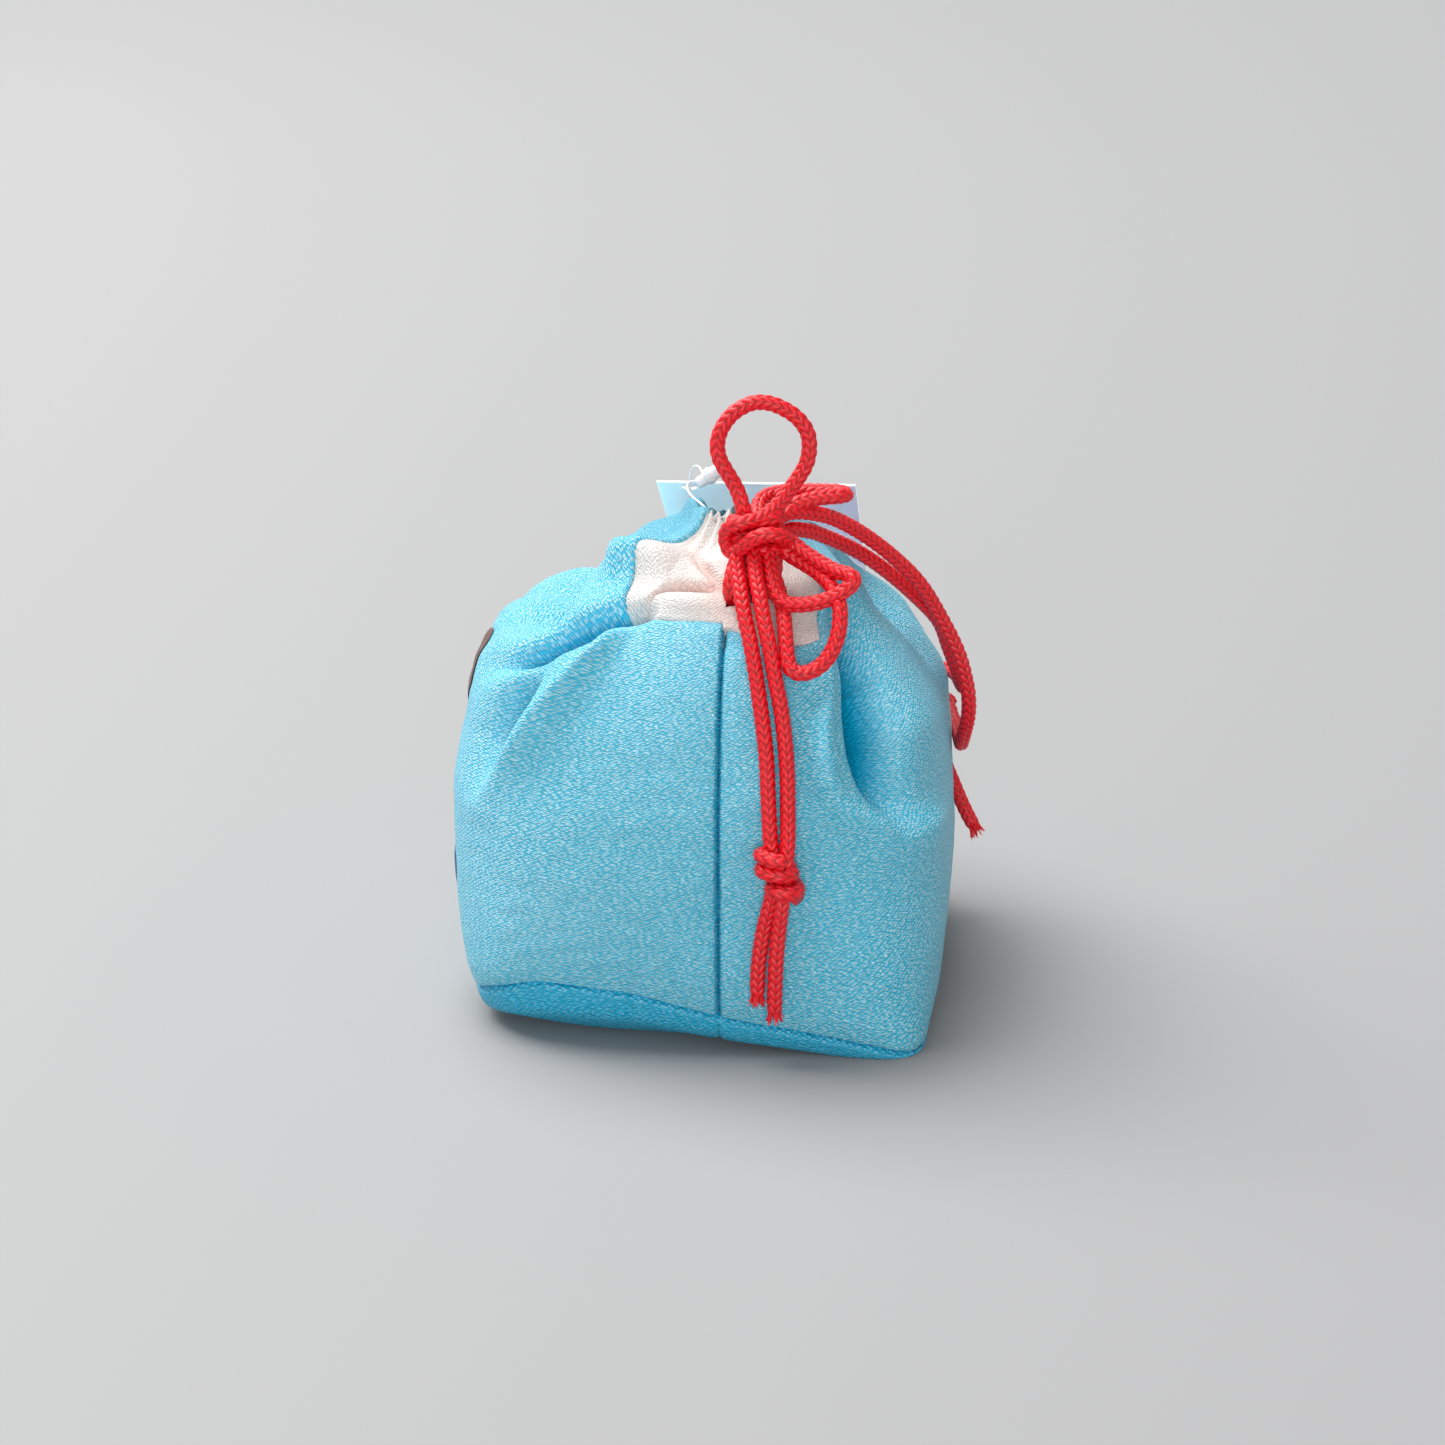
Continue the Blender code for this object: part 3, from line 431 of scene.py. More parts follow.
# %%
HEIGHT, HALF_LENGTH, HALF_WIDTH = 0.105, 0.056, 0.053
WALL_RUN, ONE_TURN = 1.57 * HEIGHT, 3.03 * HEIGHT / 360
LEVELS = (
    (0.00, 0.000, 0.00, 0.00, 0.00, 0.00, 4.0),
    (0.10, 0.000, 0.69, 0.69, 0.66, 0.69, 4.6),
    (0.15, 0.019, 0.885, 0.865, 0.845, 0.88, 5.0),
    (0.19, 0.055, 0.96, 0.93, 0.915, 0.945, 5.0),
    (0.24, 0.125, 0.985, 0.965, 0.955, 0.98, 4.4),
    (0.34, 0.280, 1.00, 1.00, 0.995, 1.00, 3.7),
    (0.46, 0.455, 1.00, 0.995, 1.01, 0.99, 3.3),
    (0.57, 0.610, 0.965, 0.95, 0.955, 0.965, 3.0),
    (0.66, 0.735, 0.91, 0.85, 0.90, 0.83, 2.7),
    (0.74, 0.835, 0.82, 0.66, 0.72, 0.56, 2.5),
    (0.81, 0.905, 0.70, 0.47, 0.49, 0.42, 2.3),
    (0.87, 0.950, 0.55, 0.34, 0.34, 0.27, 2.2),
    (0.92, 0.980, 0.41, 0.25, 0.25, 0.20, 2.0),
    (0.96, 1.000, 0.31, 0.205, 0.19, 0.17, 2.0),
    (1.00, 0.985, 0.25, 0.175, 0.155, 0.145, 2.0),
)
CROSS_SEAM = (
    (-75, 0.055), (-62, 0.066), (-50, 0.075), (-42, 0.100), (-32, 0.130), (-20, 0.121), (-8, 0.094),
    (4, 0.068), (20, 0.045), (33, 0.022), (43, 0.004), (55, 0.020), (75, 0.055),
)
ROUND_CREASES = (
    ((-68, 0.636, 0, 0.040, 0.040), (-59, 0.652, -0.020, 0.038, 0.040), (-52, 0.672, -0.048, 0.034, 0.040),
     (-47, 0.691, -0.082, 0.032, 0.038), (-42, 0.712, -0.120, 0.032, 0.036),
     (-37, 0.733, -0.148, 0.032, 0.034),
     (-32, 0.752, -0.154, 0.030, 0.030), (-28, 0.764, -0.130, 0.028, 0.026),
     (-23, 0.771, -0.056, 0.024, 0.022),
     (-18, 0.775, 0, 0.020, 0.022)),
    ((-90, 0.830, 0, 0.050, 0.050), (-72, 0.835, 0.008, 0.050, 0.050), (-58, 0.830, 0.034, 0.040, 0.050),
     (-44, 0.822, 0.064, 0.034, 0.052), (-32, 0.840, 0.048, 0.030, 0.042), (-20, 0.848, 0, 0.030, 0.040)),
    ((24, 0.500, 0, 0.045, 0.030), (31, 0.494, 0.018, 0.055, 0.030), (38, 0.474, 0.034, 0.060, 0.032),
     (48, 0.458, 0.034, 0.060, 0.036), (60, 0.450, 0.014, 0.055, 0.040), (70, 0.448, 0, 0.050, 0.040)),
    ((22, 0.800, 0, 0.048, 0.048), (32, 0.800, 0.020, 0.048, 0.048), (45, 0.785, 0.040, 0.060, 0.060),
     (60, 0.755, 0.040, 0.065, 0.065), (74, 0.740, 0.016, 0.065, 0.065), (86, 0.740, 0, 0.065, 0.065)),
)
SHOULDER = (
    (-168, 0.770, 0, 0.075, 0.055), (-150, 0.770, -0.044, 0.075, 0.055),
    (-132, 0.772, -0.086, 0.080, 0.055),
    (-112, 0.772, -0.112, 0.084, 0.055), (-90, 0.770, -0.116, 0.086, 0.060),
    (-74, 0.762, -0.122, 0.086, 0.056),
    (-62, 0.750, -0.096, 0.072, 0.046), (-52, 0.742, -0.036, 0.050, 0.036), (-42, 0.740, 0, 0.040, 0.036),
)
RISING_CREASES = (
    ((0.44, -49, 0, 0.030, 0.040), (0.50, -45, 0.014, 0.028, 0.034), (0.57, -39.5, 0.032, 0.025, 0.028),
     (0.63, -35, 0.042, 0.022, 0.024), (0.68, -31, 0.042, 0.020, 0.022), (0.725, -27, 0.026, 0.020, 0.022),
     (0.765, -25, 0, 0.022, 0.024)),
    ((0.47, -49, 0, 0.040, 0.024), (0.53, -47, -0.022, 0.046, 0.024), (0.58, -45, -0.046, 0.048, 0.024),
     (0.63, -43, -0.050, 0.042, 0.022), (0.67, -41, -0.024, 0.036, 0.020), (0.70, -39, 0, 0.030, 0.020)),
    ((0.46, 30, 0, 0.036, 0.030), (0.50, 27.5, 0.016, 0.036, 0.028), (0.55, 24.0, 0.036, 0.036, 0.026),
     (0.60, 23.5, 0.042, 0.036, 0.024), (0.66, 25.5, 0.040, 0.036, 0.022),
     (0.71, 28.5, 0.024, 0.034, 0.022),
     (0.75, 30, 0, 0.034, 0.024)),
    ((0.45, 42, 0, 0.030, 0.050), (0.49, 39, -0.040, 0.028, 0.056), (0.53, 35.5, -0.084, 0.026, 0.066),
     (0.58, 33.5, -0.124, 0.024, 0.078), (0.62, 34.0, -0.142, 0.024, 0.084),
     (0.66, 36, -0.146, 0.024, 0.084),
     (0.70, 38.5, -0.140, 0.025, 0.080), (0.74, 41.5, -0.086, 0.027, 0.072),
     (0.775, 43.5, -0.030, 0.030, 0.066),
     (0.80, 44, 0, 0.034, 0.060)),
    ((0.50, -140, 0, 0.057, 0.057), (0.60, -141, -0.030, 0.066, 0.052), (0.70, -143, -0.045, 0.070, 0.052),
     (0.77, -146, -0.028, 0.066, 0.052), (0.84, -148, 0, 0.052, 0.052)),
    ((0.48, 138, 0, 0.057, 0.057), (0.58, 140, -0.026, 0.052, 0.066), (0.68, 142, -0.042, 0.052, 0.070),
     (0.76, 145, -0.026, 0.052, 0.066), (0.83, 147, 0, 0.052, 0.052)),
    ((0.63, -79, 0, 0.057, 0.057), (0.70, -81, -0.018, 0.057, 0.070), (0.77, -84, -0.028, 0.057, 0.066),
     (0.86, -88, 0, 0.052, 0.052)),
    ((0.58, -112, 0, 0.057, 0.057), (0.66, -111, -0.015, 0.070, 0.057), (0.75, -109, -0.025, 0.066, 0.057),
     (0.86, -106, 0, 0.052, 0.052)),
    ((0.54, 84, 0, 0.057, 0.057), (0.65, 86, -0.016, 0.070, 0.057), (0.75, 88, -0.027, 0.066, 0.057),
     (0.85, 90, 0, 0.052, 0.052)),
    ((0.50, 114, 0, 0.057, 0.057), (0.62, 112, -0.015, 0.057, 0.070), (0.73, 110, -0.024, 0.057, 0.066),
     (0.84, 108, 0, 0.052, 0.052)),
)


print("levels:", len(LEVELS), "creases:", len(ROUND_CREASES) + len(RISING_CREASES))

# %% [markdown]
# The wall is read from the tables in three steps: the smooth oval, the depth of the creases,
# and a place on the creased wall, moved in or out along the wall's own direction.

# %%
MOUTH_SHIFT, SEAM_SHIFT, BOTTOM_SEAM_SHIFT = 0.0075, 0.0065, 0.006
FAR_DIP, CORNER_REACH = 0.004, 0.0035
FLAT_ROW, CROSS_SEAM_ROW, LIFT_END_ROW = 0.10, 0.19, 0.42
CORNER_TURN, CORNER_TURN_SPREAD, CORNER_ROW, CORNER_ROW_SPREAD = 43, 9, 0.18, 0.05


def wrap_turn(turn):
    """The same turn, from -180 to 180 degrees."""
    return (turn + 180) % 360 - 180


def smooth_wall(turn, row):
    """The wall without its creases.

    At each row it is a squared oval, |x / along|^p + |y / across|^p = 1, whose half sizes,
    height and squareness p come from the table of levels.
    """
    high, near, far, front, rear, power = np.moveaxis(read_rows(LEVELS, row), -1, 0)
    c, s = np.cos(np.radians(turn)), np.sin(np.radians(turn))
    along = np.where(c > 0, near, far) * HALF_LENGTH + 1e-9
    across = np.where(s > 0, rear, front) * HALF_WIDTH + 1e-9
    reach = ((np.abs(c) / along) ** power + (np.abs(s) / across) ** power) ** (-1 / power)
    x, y, z = reach * c, reach * s, high * HEIGHT
    gather, flat = ease(row, 0.60, 0.95), 1 - ease(row, 0, FLAT_ROW)
    middle = (1 - np.clip(np.abs(y) / across, 0, 1) ** 2) * np.clip(x / along, 0, 1)
    y = y + SEAM_SHIFT * (1 - gather) * (1 - flat) * middle + MOUTH_SHIFT * gather - BOTTOM_SEAM_SHIFT * flat
    lift = read_rows(CROSS_SEAM, wrap_turn(turn))[..., 0] - CROSS_SEAM[0][1]
    lifted = ease(row, FLAT_ROW, CROSS_SEAM_ROW) * (1 - ease(row, CROSS_SEAM_ROW, LIFT_END_ROW))
    z = z + lift * HEIGHT * lifted - FAR_DIP * ease(-c, -0.2, 0.6) * ease(row, 0.80, 0.95)
    corner = bump(wrap_turn(turn), CORNER_TURN, CORNER_TURN_SPREAD) * bump(row, CORNER_ROW, CORNER_ROW_SPREAD)
    corner = CORNER_REACH * corner
    return np.stack((x + corner * c, y + corner * s, np.maximum(z, 0)), -1)


def across_crease(table, place, other, unit):
    """A smooth hill or valley across one crease line, with a width of its own on either side."""
    middle, depth, before, after = np.moveaxis(read_rows(table, place), -1, 0)
    away = (other - middle) * unit
    width = np.where(away < 0, before, after) * HEIGHT
    return depth * HEIGHT * np.exp(-((away / width) ** 2))


def crease_depth(turn, row):
    """How far the creases push the wall out, in metres."""
    turn = wrap_turn(turn)
    total = sum(across_crease(table, turn, row, WALL_RUN) for table in ROUND_CREASES)
    return total + sum(across_crease(table, row, turn, ONE_TURN) for table in RISING_CREASES)


GATHERS, GATHER_RIPPLE = 11, 0.0009


def wall_point(turn, row, out=0.0):
    """A place on the creased wall, moved out from it along the wall's own direction."""
    turn, row = np.broadcast_arrays(np.asarray(turn, float), np.asarray(row, float))
    below, above = np.clip(row - 0.004, 0, 1), np.clip(row + 0.004, 0, 1)
    outward = np.cross(smooth_wall(turn + 1, row) - smooth_wall(turn - 1, row),
                       smooth_wall(turn, above) - smooth_wall(turn, below))
    length = np.linalg.norm(outward, axis=-1, keepdims=True)
    outward = np.where(length > 0, outward / np.maximum(length, 1e-18), (0, 0, -1))
    ripple = GATHER_RIPPLE * np.cos(np.radians(turn) * GATHERS) * ease(row, 0.78, 0.88)
    pushed = crease_depth(turn, row) + across_crease(SHOULDER, wrap_turn(turn), row, WALL_RUN)
    return smooth_wall(turn, row) + outward * (pushed + ripple + out)[..., None]


def wall_cloth(name, points, turn, row, finish, thickness, keep=None, painted_shade_and_bounce=None):
    """A piece of cloth over a grid of turns and rows, its texture in metres along the cloth.

    Cells of a grid whose turns run down would face inwards, so they are turned over.
    """
    cells = grid_faces(*turn.shape, keep=keep)
    uv = np.stack((turn * ONE_TURN, row * WALL_RUN), -1).reshape(-1, 2)
    facing_out = cells[:, ::-1] if turn[0, -1] < turn[0, 0] else cells
    mesh = make_mesh(name, points.reshape(-1, 3), facing_out, uv)
    # The painted shade and bounce value, one per point, kept for the finish.
    if painted_shade_and_bounce is not None:
        add_values(mesh, "painted_shade_and_bounce", painted_shade_and_bounce.ravel()[np.unique(cells)])
    piece = add_piece(name, mesh, finish)
    thicken(piece, thickness)
    return piece


print("height of the mouth:", round(wall_point(0.0, 0.96)[2], 4))

# %% [markdown]
# ## Outer panels
#
# Two panels of blue cloth meet at a groove down each side and under the bottom. The cloth is
# slightly uneven, the seams pull it in and pucker it, and it puffs out below the seam across
# the bottom. All of these are depths in metres, given for a turn and a row.

# %%
def value_noise(u, v, seed):
    """Smooth random heights from -1 to 1 over a plane, the same on every run."""
    table = np.random.default_rng(seed).uniform(-1, 1, (64, 64))
    i, j = np.floor(u).astype(int), np.floor(v).astype(int)
    a, b = ease(u - i, 0, 1), ease(v - j, 0, 1)
    near, far = ((table[i % 64, k % 64] * (1 - a) + table[(i + 1) % 64, k % 64] * a) for k in (j, j + 1))
    return near * (1 - b) + far * b


def crumple(turn, row):
    """Soft unevenness of stuffed cloth, in metres."""
    u, v = turn * ONE_TURN, row * WALL_RUN
    large = value_noise(u / 0.017 + 9, v / 0.014, 3) * 0.00035
    small = value_noise((u + v) / 0.0065, (v - 0.6 * u) / 0.0038 + 5, 4) * 0.00011
    return (large + small) * ease(row, 0.10, 0.2)


def seam_depth(turn, row):
    """How far the side seams and the cross seams pull the cloth in."""
    turned = np.minimum(np.abs(wrap_turn(turn)), np.abs(np.abs(wrap_turn(turn)) - 180))
    away, run = turned * ONE_TURN, row * WALL_RUN
    wave = np.sin(run / 0.0037 * math.tau + 1.3 * np.sin(run / 0.011))
    pucker = 0.0001 * wave * bump(away, 0.0022, 0.0018)
    above = 0.25 * ease(row, 0.02, 0.1) + 0.75 * ease(row, 0.180, 0.196)
    side = (0.0015 * bump(away, 0, 0.00050) + 0.0004 * bump(away, 0, 0.0030)) * above
    across = (row - CROSS_SEAM_ROW) * WALL_RUN
    inside = 1 - ease(turned, 52, 66)
    cross = (0.0018 * bump(across, 0, 0.0007) + 0.0005 * bump(across, 0.001, 0.004)) * inside
    return np.maximum(side, cross) + pucker - 0.0012 * bump(across, -0.0050, 0.0032) * inside


print("seam groove:", round(float(seam_depth(0.0, 0.5)) * 1000, 2), "mm deep")

# %% [markdown]
# Each panel has a notch at both sides near the mouth, where its channel ends. The grid's
# columns and rows are close together at the seams and the notches, and are bent a little so
# that they run along the near notch's real edge, which is given as rows and turns, and as
# turns and rows for its foot.

# %%
NOTCH_LEFT = ((0.70, -28.5), (0.765, -29.0), (0.79, -31.5), (0.818, -33.0), (0.845, -33.5), (0.87, -31.0),
              (0.90, -28.0), (0.935, -27.0), (1.00, -29.0))
NOTCH_RIGHT = ((0.66, 28.5), (0.725, 28.5), (0.745, 31.5), (0.785, 34.5), (0.83, 35.0), (0.90, 34.0),
               (1.00, 33.0))
BOTTOM_LEFT = ((-33, 0.768), (-22, 0.763), (-13, 0.766), (-8, 0.769), (-6, 0.778), (-1.5, 0.783),
               (0, 0.783))
BOTTOM_RIGHT = ((0, 0.757), (4, 0.752), (9, 0.735), (15, 0.724), (21, 0.727), (28, 0.725), (33, 0.725))
NOTCHES = {"front": (29.0, 0.765, NOTCH_LEFT, BOTTOM_LEFT),
           "back": (28.5, 0.725, NOTCH_RIGHT, BOTTOM_RIGHT)}
FAR_NOTCH, NEAR_SIDE = 153.0, 90.0
TURN_CELLS, ROW_CELLS = (8, 8, 24, 5, 5, 32, 56, 32, 5, 5, 24, 6), (3, 12, 16, 20, 76, 20, 4, 4, 24, 18)


def graded(places, counts):
    """Values from place to place, with a count of even steps between each two."""
    counts = np.array(counts) // 1
    parts = [np.linspace(a, b, n, endpoint=False) for a, b, n in zip(places[:-1], places[1:], counts)]
    return np.concatenate(parts + [places[-1:]])


def panel_grid(side):
    """Bent turns, bent rows, straight turns and the cells that the notches leave."""
    near, foot, edge_table, foot_table = NOTCHES[side]
    turns = graded((0, 1.5, 6, near - 2, near, near + 2, 60, 120, 151, FAR_NOTCH, 155, 178.5, 180),
                   TURN_CELLS)
    rows = graded((0, 0.02, 0.10, 0.17, 0.21, 0.60, foot - 0.012, foot, foot + 0.012, 0.90, 1.0),
                  ROW_CELLS)
    turn, row = np.meshgrid(-turns if side == "front" else turns, rows)
    keep = np.ones((len(rows) - 1, len(turns) - 1), bool)
    first_row = np.searchsorted(rows, foot)
    keep[first_row:, :np.searchsorted(turns, near)] = False
    keep[first_row:, np.searchsorted(turns, FAR_NOTCH):] = False
    size, edge = np.abs(turn), np.abs(read_rows(edge_table, row)[..., 0])
    bent_turn = turn + (edge - near) * np.sign(turn) * bump(size, near, 12) * ease(row, foot - 0.04, foot)
    lift = read_rows(foot_table, turn)[..., 0] - foot
    bent_row = row + lift * bump(row, foot, 0.035) * (1 - ease(size, near, near + 9))
    return bent_turn, bent_row, turn, keep


front_grid = panel_grid("front")
print("front panel's grid:", front_grid[0].shape, "with", int(front_grid[3].sum()), "cells of cloth")

# %% [markdown]
# At a notch the cloth rolls in like a turned hem, on a quarter round. At the mouth above the
# front panel it makes a soft lip. The panel keeps its painted shade values for the finish:
# high in the creases, below the cross seam and in the seam grooves, where it lies in shade.

# %%
HEM, HEM_DEPTH, PANEL_THICKNESS = 0.0012, 0.0010, 0.0007


def roll_in(side, turn, row):
    """How far the cloth rolls in at its notch edges."""
    near, foot = NOTCHES[side][:2]
    size, below = np.abs(turn), (foot - row) * WALL_RUN
    to_near = np.maximum((size - near) * ONE_TURN, below)
    to_far = np.maximum((FAR_NOTCH - size) * ONE_TURN, below)
    away = np.clip(np.where(size < NEAR_SIDE, to_near, to_far), 0, HEM)
    return HEM_DEPTH * (1 - np.sqrt(np.clip(1 - (1 - away / HEM) ** 2, 0, 1)))


def painted_shade_share(turn, row):
    """How much painted shade and bounce a place gets, from 0 on the open cloth to 1 in a deep fold."""
    # Painted shade in deep creases, on the band below the cross seam, which faces the floor, and in the seam
    # grooves.
    crease_shade = ease(-crease_depth(turn, row), 0.0020, 0.0095)
    shade_below_seam = 0.75 * (1 - ease(row, 0.180, 0.192))
    seam_shade = 0.7 * ease(seam_depth(turn, row), 0.0006, 0.0014)
    return np.clip(crease_shade + shade_below_seam + seam_shade, 0, 1)


def outer_panel(side):
    turn, row, straight_turn, keep = panel_grid(side)
    lip = 0.0016 * bump(row, 0.952, 0.022) * bump(turn, -52, 26)
    out = crumple(turn, row) + lip - seam_depth(turn, row) - roll_in(side, straight_turn, row)
    points = wall_point(turn, row, out)
    points[..., 2] = np.maximum(points[..., 2], 0)
    piece = wall_cloth("outer_" + side + "_cloth", points, turn, row, blue_cloth, PANEL_THICKNESS,
                       keep, painted_shade_share(turn, row))
    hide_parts("outer_" + side + "_panel")
    return piece


panels = {side: outer_panel(side) for side in ("front", "back")}
for side, piece in panels.items():
    print(side, "panel:", len(piece.data.polygons), "faces")

# %% [markdown]
# ## White facings and lining
#
# In each side notch a white strip closes the channel. It puffs out above and below the line
# where the cords lie, and two folds run together at the slot where the cords come out. The
# strip is warm red in the folds and near the cords, where it is lit by them.

# %%
FIRST_FOLD = ((-45, 0.765), (-33, 0.772), (-25, 0.781), (-20, 0.812), (-9, 0.828), (0, 0.826), (45, 0.79))
SECOND_FOLD = ((-30, 0.893), (-20, 0.886), (-10, 0.862), (-2, 0.836), (0, 0.834))
PUFFS = ((0.0028, -23, 8, 0.850, 0.026), (0.0024, -14, 10, 0.795, 0.018), (0.0010, -8, 5, 0.870, 0.012))


def facing_relief(turn, row):
    """How far the puffs and folds push a facing out, and how much red light from the cords is painted on it,
    from 0 to 1.

    A puff has its height, its turn with its width, and its row with its width.
    """
    near = 1 - ease(np.abs(turn), 60, 90)
    first = (row - read_rows(FIRST_FOLD, turn)[..., 0]) * WALL_RUN
    second = (row - read_rows(SECOND_FOLD, turn)[..., 0]) * WALL_RUN
    puffs = sum(high * bump(turn, at, wide) * bump(row, up, tall) for high, at, wide, up, tall in PUFFS)
    folds = 0.0034 * bump(first, 0, 0.0014) * bump(turn, -15, 12)
    folds += 0.0021 * bump(second, 0, 0.0013) * bump(turn, -11, 9)
    # Painted red bounce light from the cords: along both folds, at the slot and beside the cords.
    painted_red_bounce = 0.9 * bump(first, 0, 0.0022) * bump(turn, -12, 13)
    painted_red_bounce += 0.9 * bump(second, 0, 0.0020) * bump(turn, -11, 10)
    painted_red_bounce += 0.6 * bump(turn, 2, 9) * bump(row, 0.80, 0.08) + 0.35 * bump(turn, 22, 12)
    behind_cords = 0.0006 * bump(turn, 22, 9) * bump(row, 0.80, 0.03)
    return (puffs - folds) * near + behind_cords, np.clip(painted_red_bounce * near, 0, 1)


in_first_fold, red_bounce_at_fold = facing_relief(-15.0, read_rows(FIRST_FOLD, -15.0)[0])
print("relief in the first fold:", round(float(in_first_fold) * 1000, 1), "mm")

# %% [markdown]
# The strip lies 1.1 mm inside the wall. At the mouth it stands up in a small ruffle where
# the notch leaves it in sight, and at its foot it is tucked behind the panel.

# %%
FACING_THICKNESS, FACING_SET_IN, FACING_TOP = 0.0005, 0.0011, 0.985


def facing(name, first, last, low_row, shape, slot_start=None):
    """A strip from one turn to another, which may start later above the slot."""
    across, row = np.meshgrid(np.linspace(0, 1, shape[0]), np.linspace(low_row, FACING_TOP, shape[1]))
    start = first if slot_start is None else first + (slot_start - first) * ease(row, 0.790, 0.812)
    turn = start + (last - start) * across
    relief, painted_red_bounce = facing_relief(turn, row)
    size = np.abs(turn)
    in_sight = np.where(size < NEAR_SIDE, 1 - ease(size, 25, 31), ease(size, 151, 157))
    ruffle = 0.0008 * np.sin(np.radians(turn) * 46 + 14 * row) * ease(row, 0.875, 0.93) * in_sight
    tuck = 0.0018 * (1 - ease(row, low_row + 0.010, low_row + 0.026))
    tuck = tuck + 0.0020 * bump(turn, 0, 3) * (1 - ease(row, 0.750, 0.760))
    points = wall_point(turn, row, relief + ruffle + 0.4 * crumple(turn, row) - FACING_SET_IN - tuck)
    points[..., 2] += 0.0030 * ease(row, 0.90, FACING_TOP) * bump(turn, -12, 20)
    piece = wall_cloth(name, points, turn, row, white_cloth, FACING_THICKNESS, painted_shade_and_bounce=painted_red_bounce)
    return piece


near_front = facing("white_near_front", -0.2, -38, 0.745, (110, 100))
near_back = facing("white_near_back", -0.5, 42, 0.69, (90, 110), 21)
far_front = facing("white_far_front", -147, -179.6, 0.74, (80, 70))
far_back = facing("white_far_back", 147, 179.6, 0.70, (80, 80))
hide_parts("near_facing_front")
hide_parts("near_facing_back")
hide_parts("far_facing_front")
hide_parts("far_facing_back")
print("facings:", near_front.name, near_back.name, far_front.name, far_back.name)

# %% [markdown]
# The lining is plain white, and only its top shows. It follows the wall without its creases,
# set in far enough to clear them.

# %%
def lining_finish():
    n = Nodes("plain_lining")
    uv = n.new("UVMap", uv_map="UVMap")
    weave = n.new("TexWave", 1, {"Vector": uv, "Scale": 620.0, "Distortion": 0.4})
    normal = n.new("Bump", 0, {"Height": weave, "Strength": 0.2, "Distance": 0.0001})
    return n.finish(base_color=linear(238, 236, 232), roughness=0.75, normal=normal)


lining_cloth = lining_finish()


LINING_TOP, LINING_SET_IN, LINING_DEEPEST, LINING_THICKNESS = 0.948, 0.0034, 0.0180, 0.0004


def lining(side):
    """The wall without its creases, set in, and further in behind the creases."""
    last = -180 if side == "front" else 180
    turn, row = np.meshgrid(np.linspace(0, last, 91), np.linspace(0, LINING_TOP, 70))
    behind = ease(row, 0.42, 0.56) * (1 - 0.92 * ease(row, 0.82, 0.95))
    set_in = LINING_SET_IN + (LINING_DEEPEST - LINING_SET_IN) * behind
    points = smooth_wall(turn, row) - (wall_point(turn, row) - wall_point(turn, row, -set_in))
    points[..., 2] = np.maximum(points[..., 2], set_in)
    piece = wall_cloth("lining_" + side + "_cloth", points, turn, row, lining_cloth, LINING_THICKNESS)
    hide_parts("lining_" + side + "_panel")
    return piece


linings = [lining(side) for side in ("front", "back")]
print("linings:", ", ".join(piece.name for piece in linings))

# %% [markdown]
# A panel is cut as wide as half the way round the pouch and as long as the wall from the
# bottom to the mouth, and the cords gather it. A lining panel is cut smaller by its set-in.

# %% [markdown]
# ## Cords
#
# Two cords run round in the channel. All four ends come out at the slot and are tied as a
# doubled bow: four loops and four tails. Two tails hang down in front and two go over the
# back, and each pair is gathered in a knot. Each route is a list of places in millimetres
# read from the photograph through the fitted camera.

# %%
def channel(row, start, end, depth=0.0049):
    turns = np.linspace(start, end - 360, 48)
    return [tuple(p) for p in wall_point(turns, np.full(turns.shape, row), -depth) * 1000]


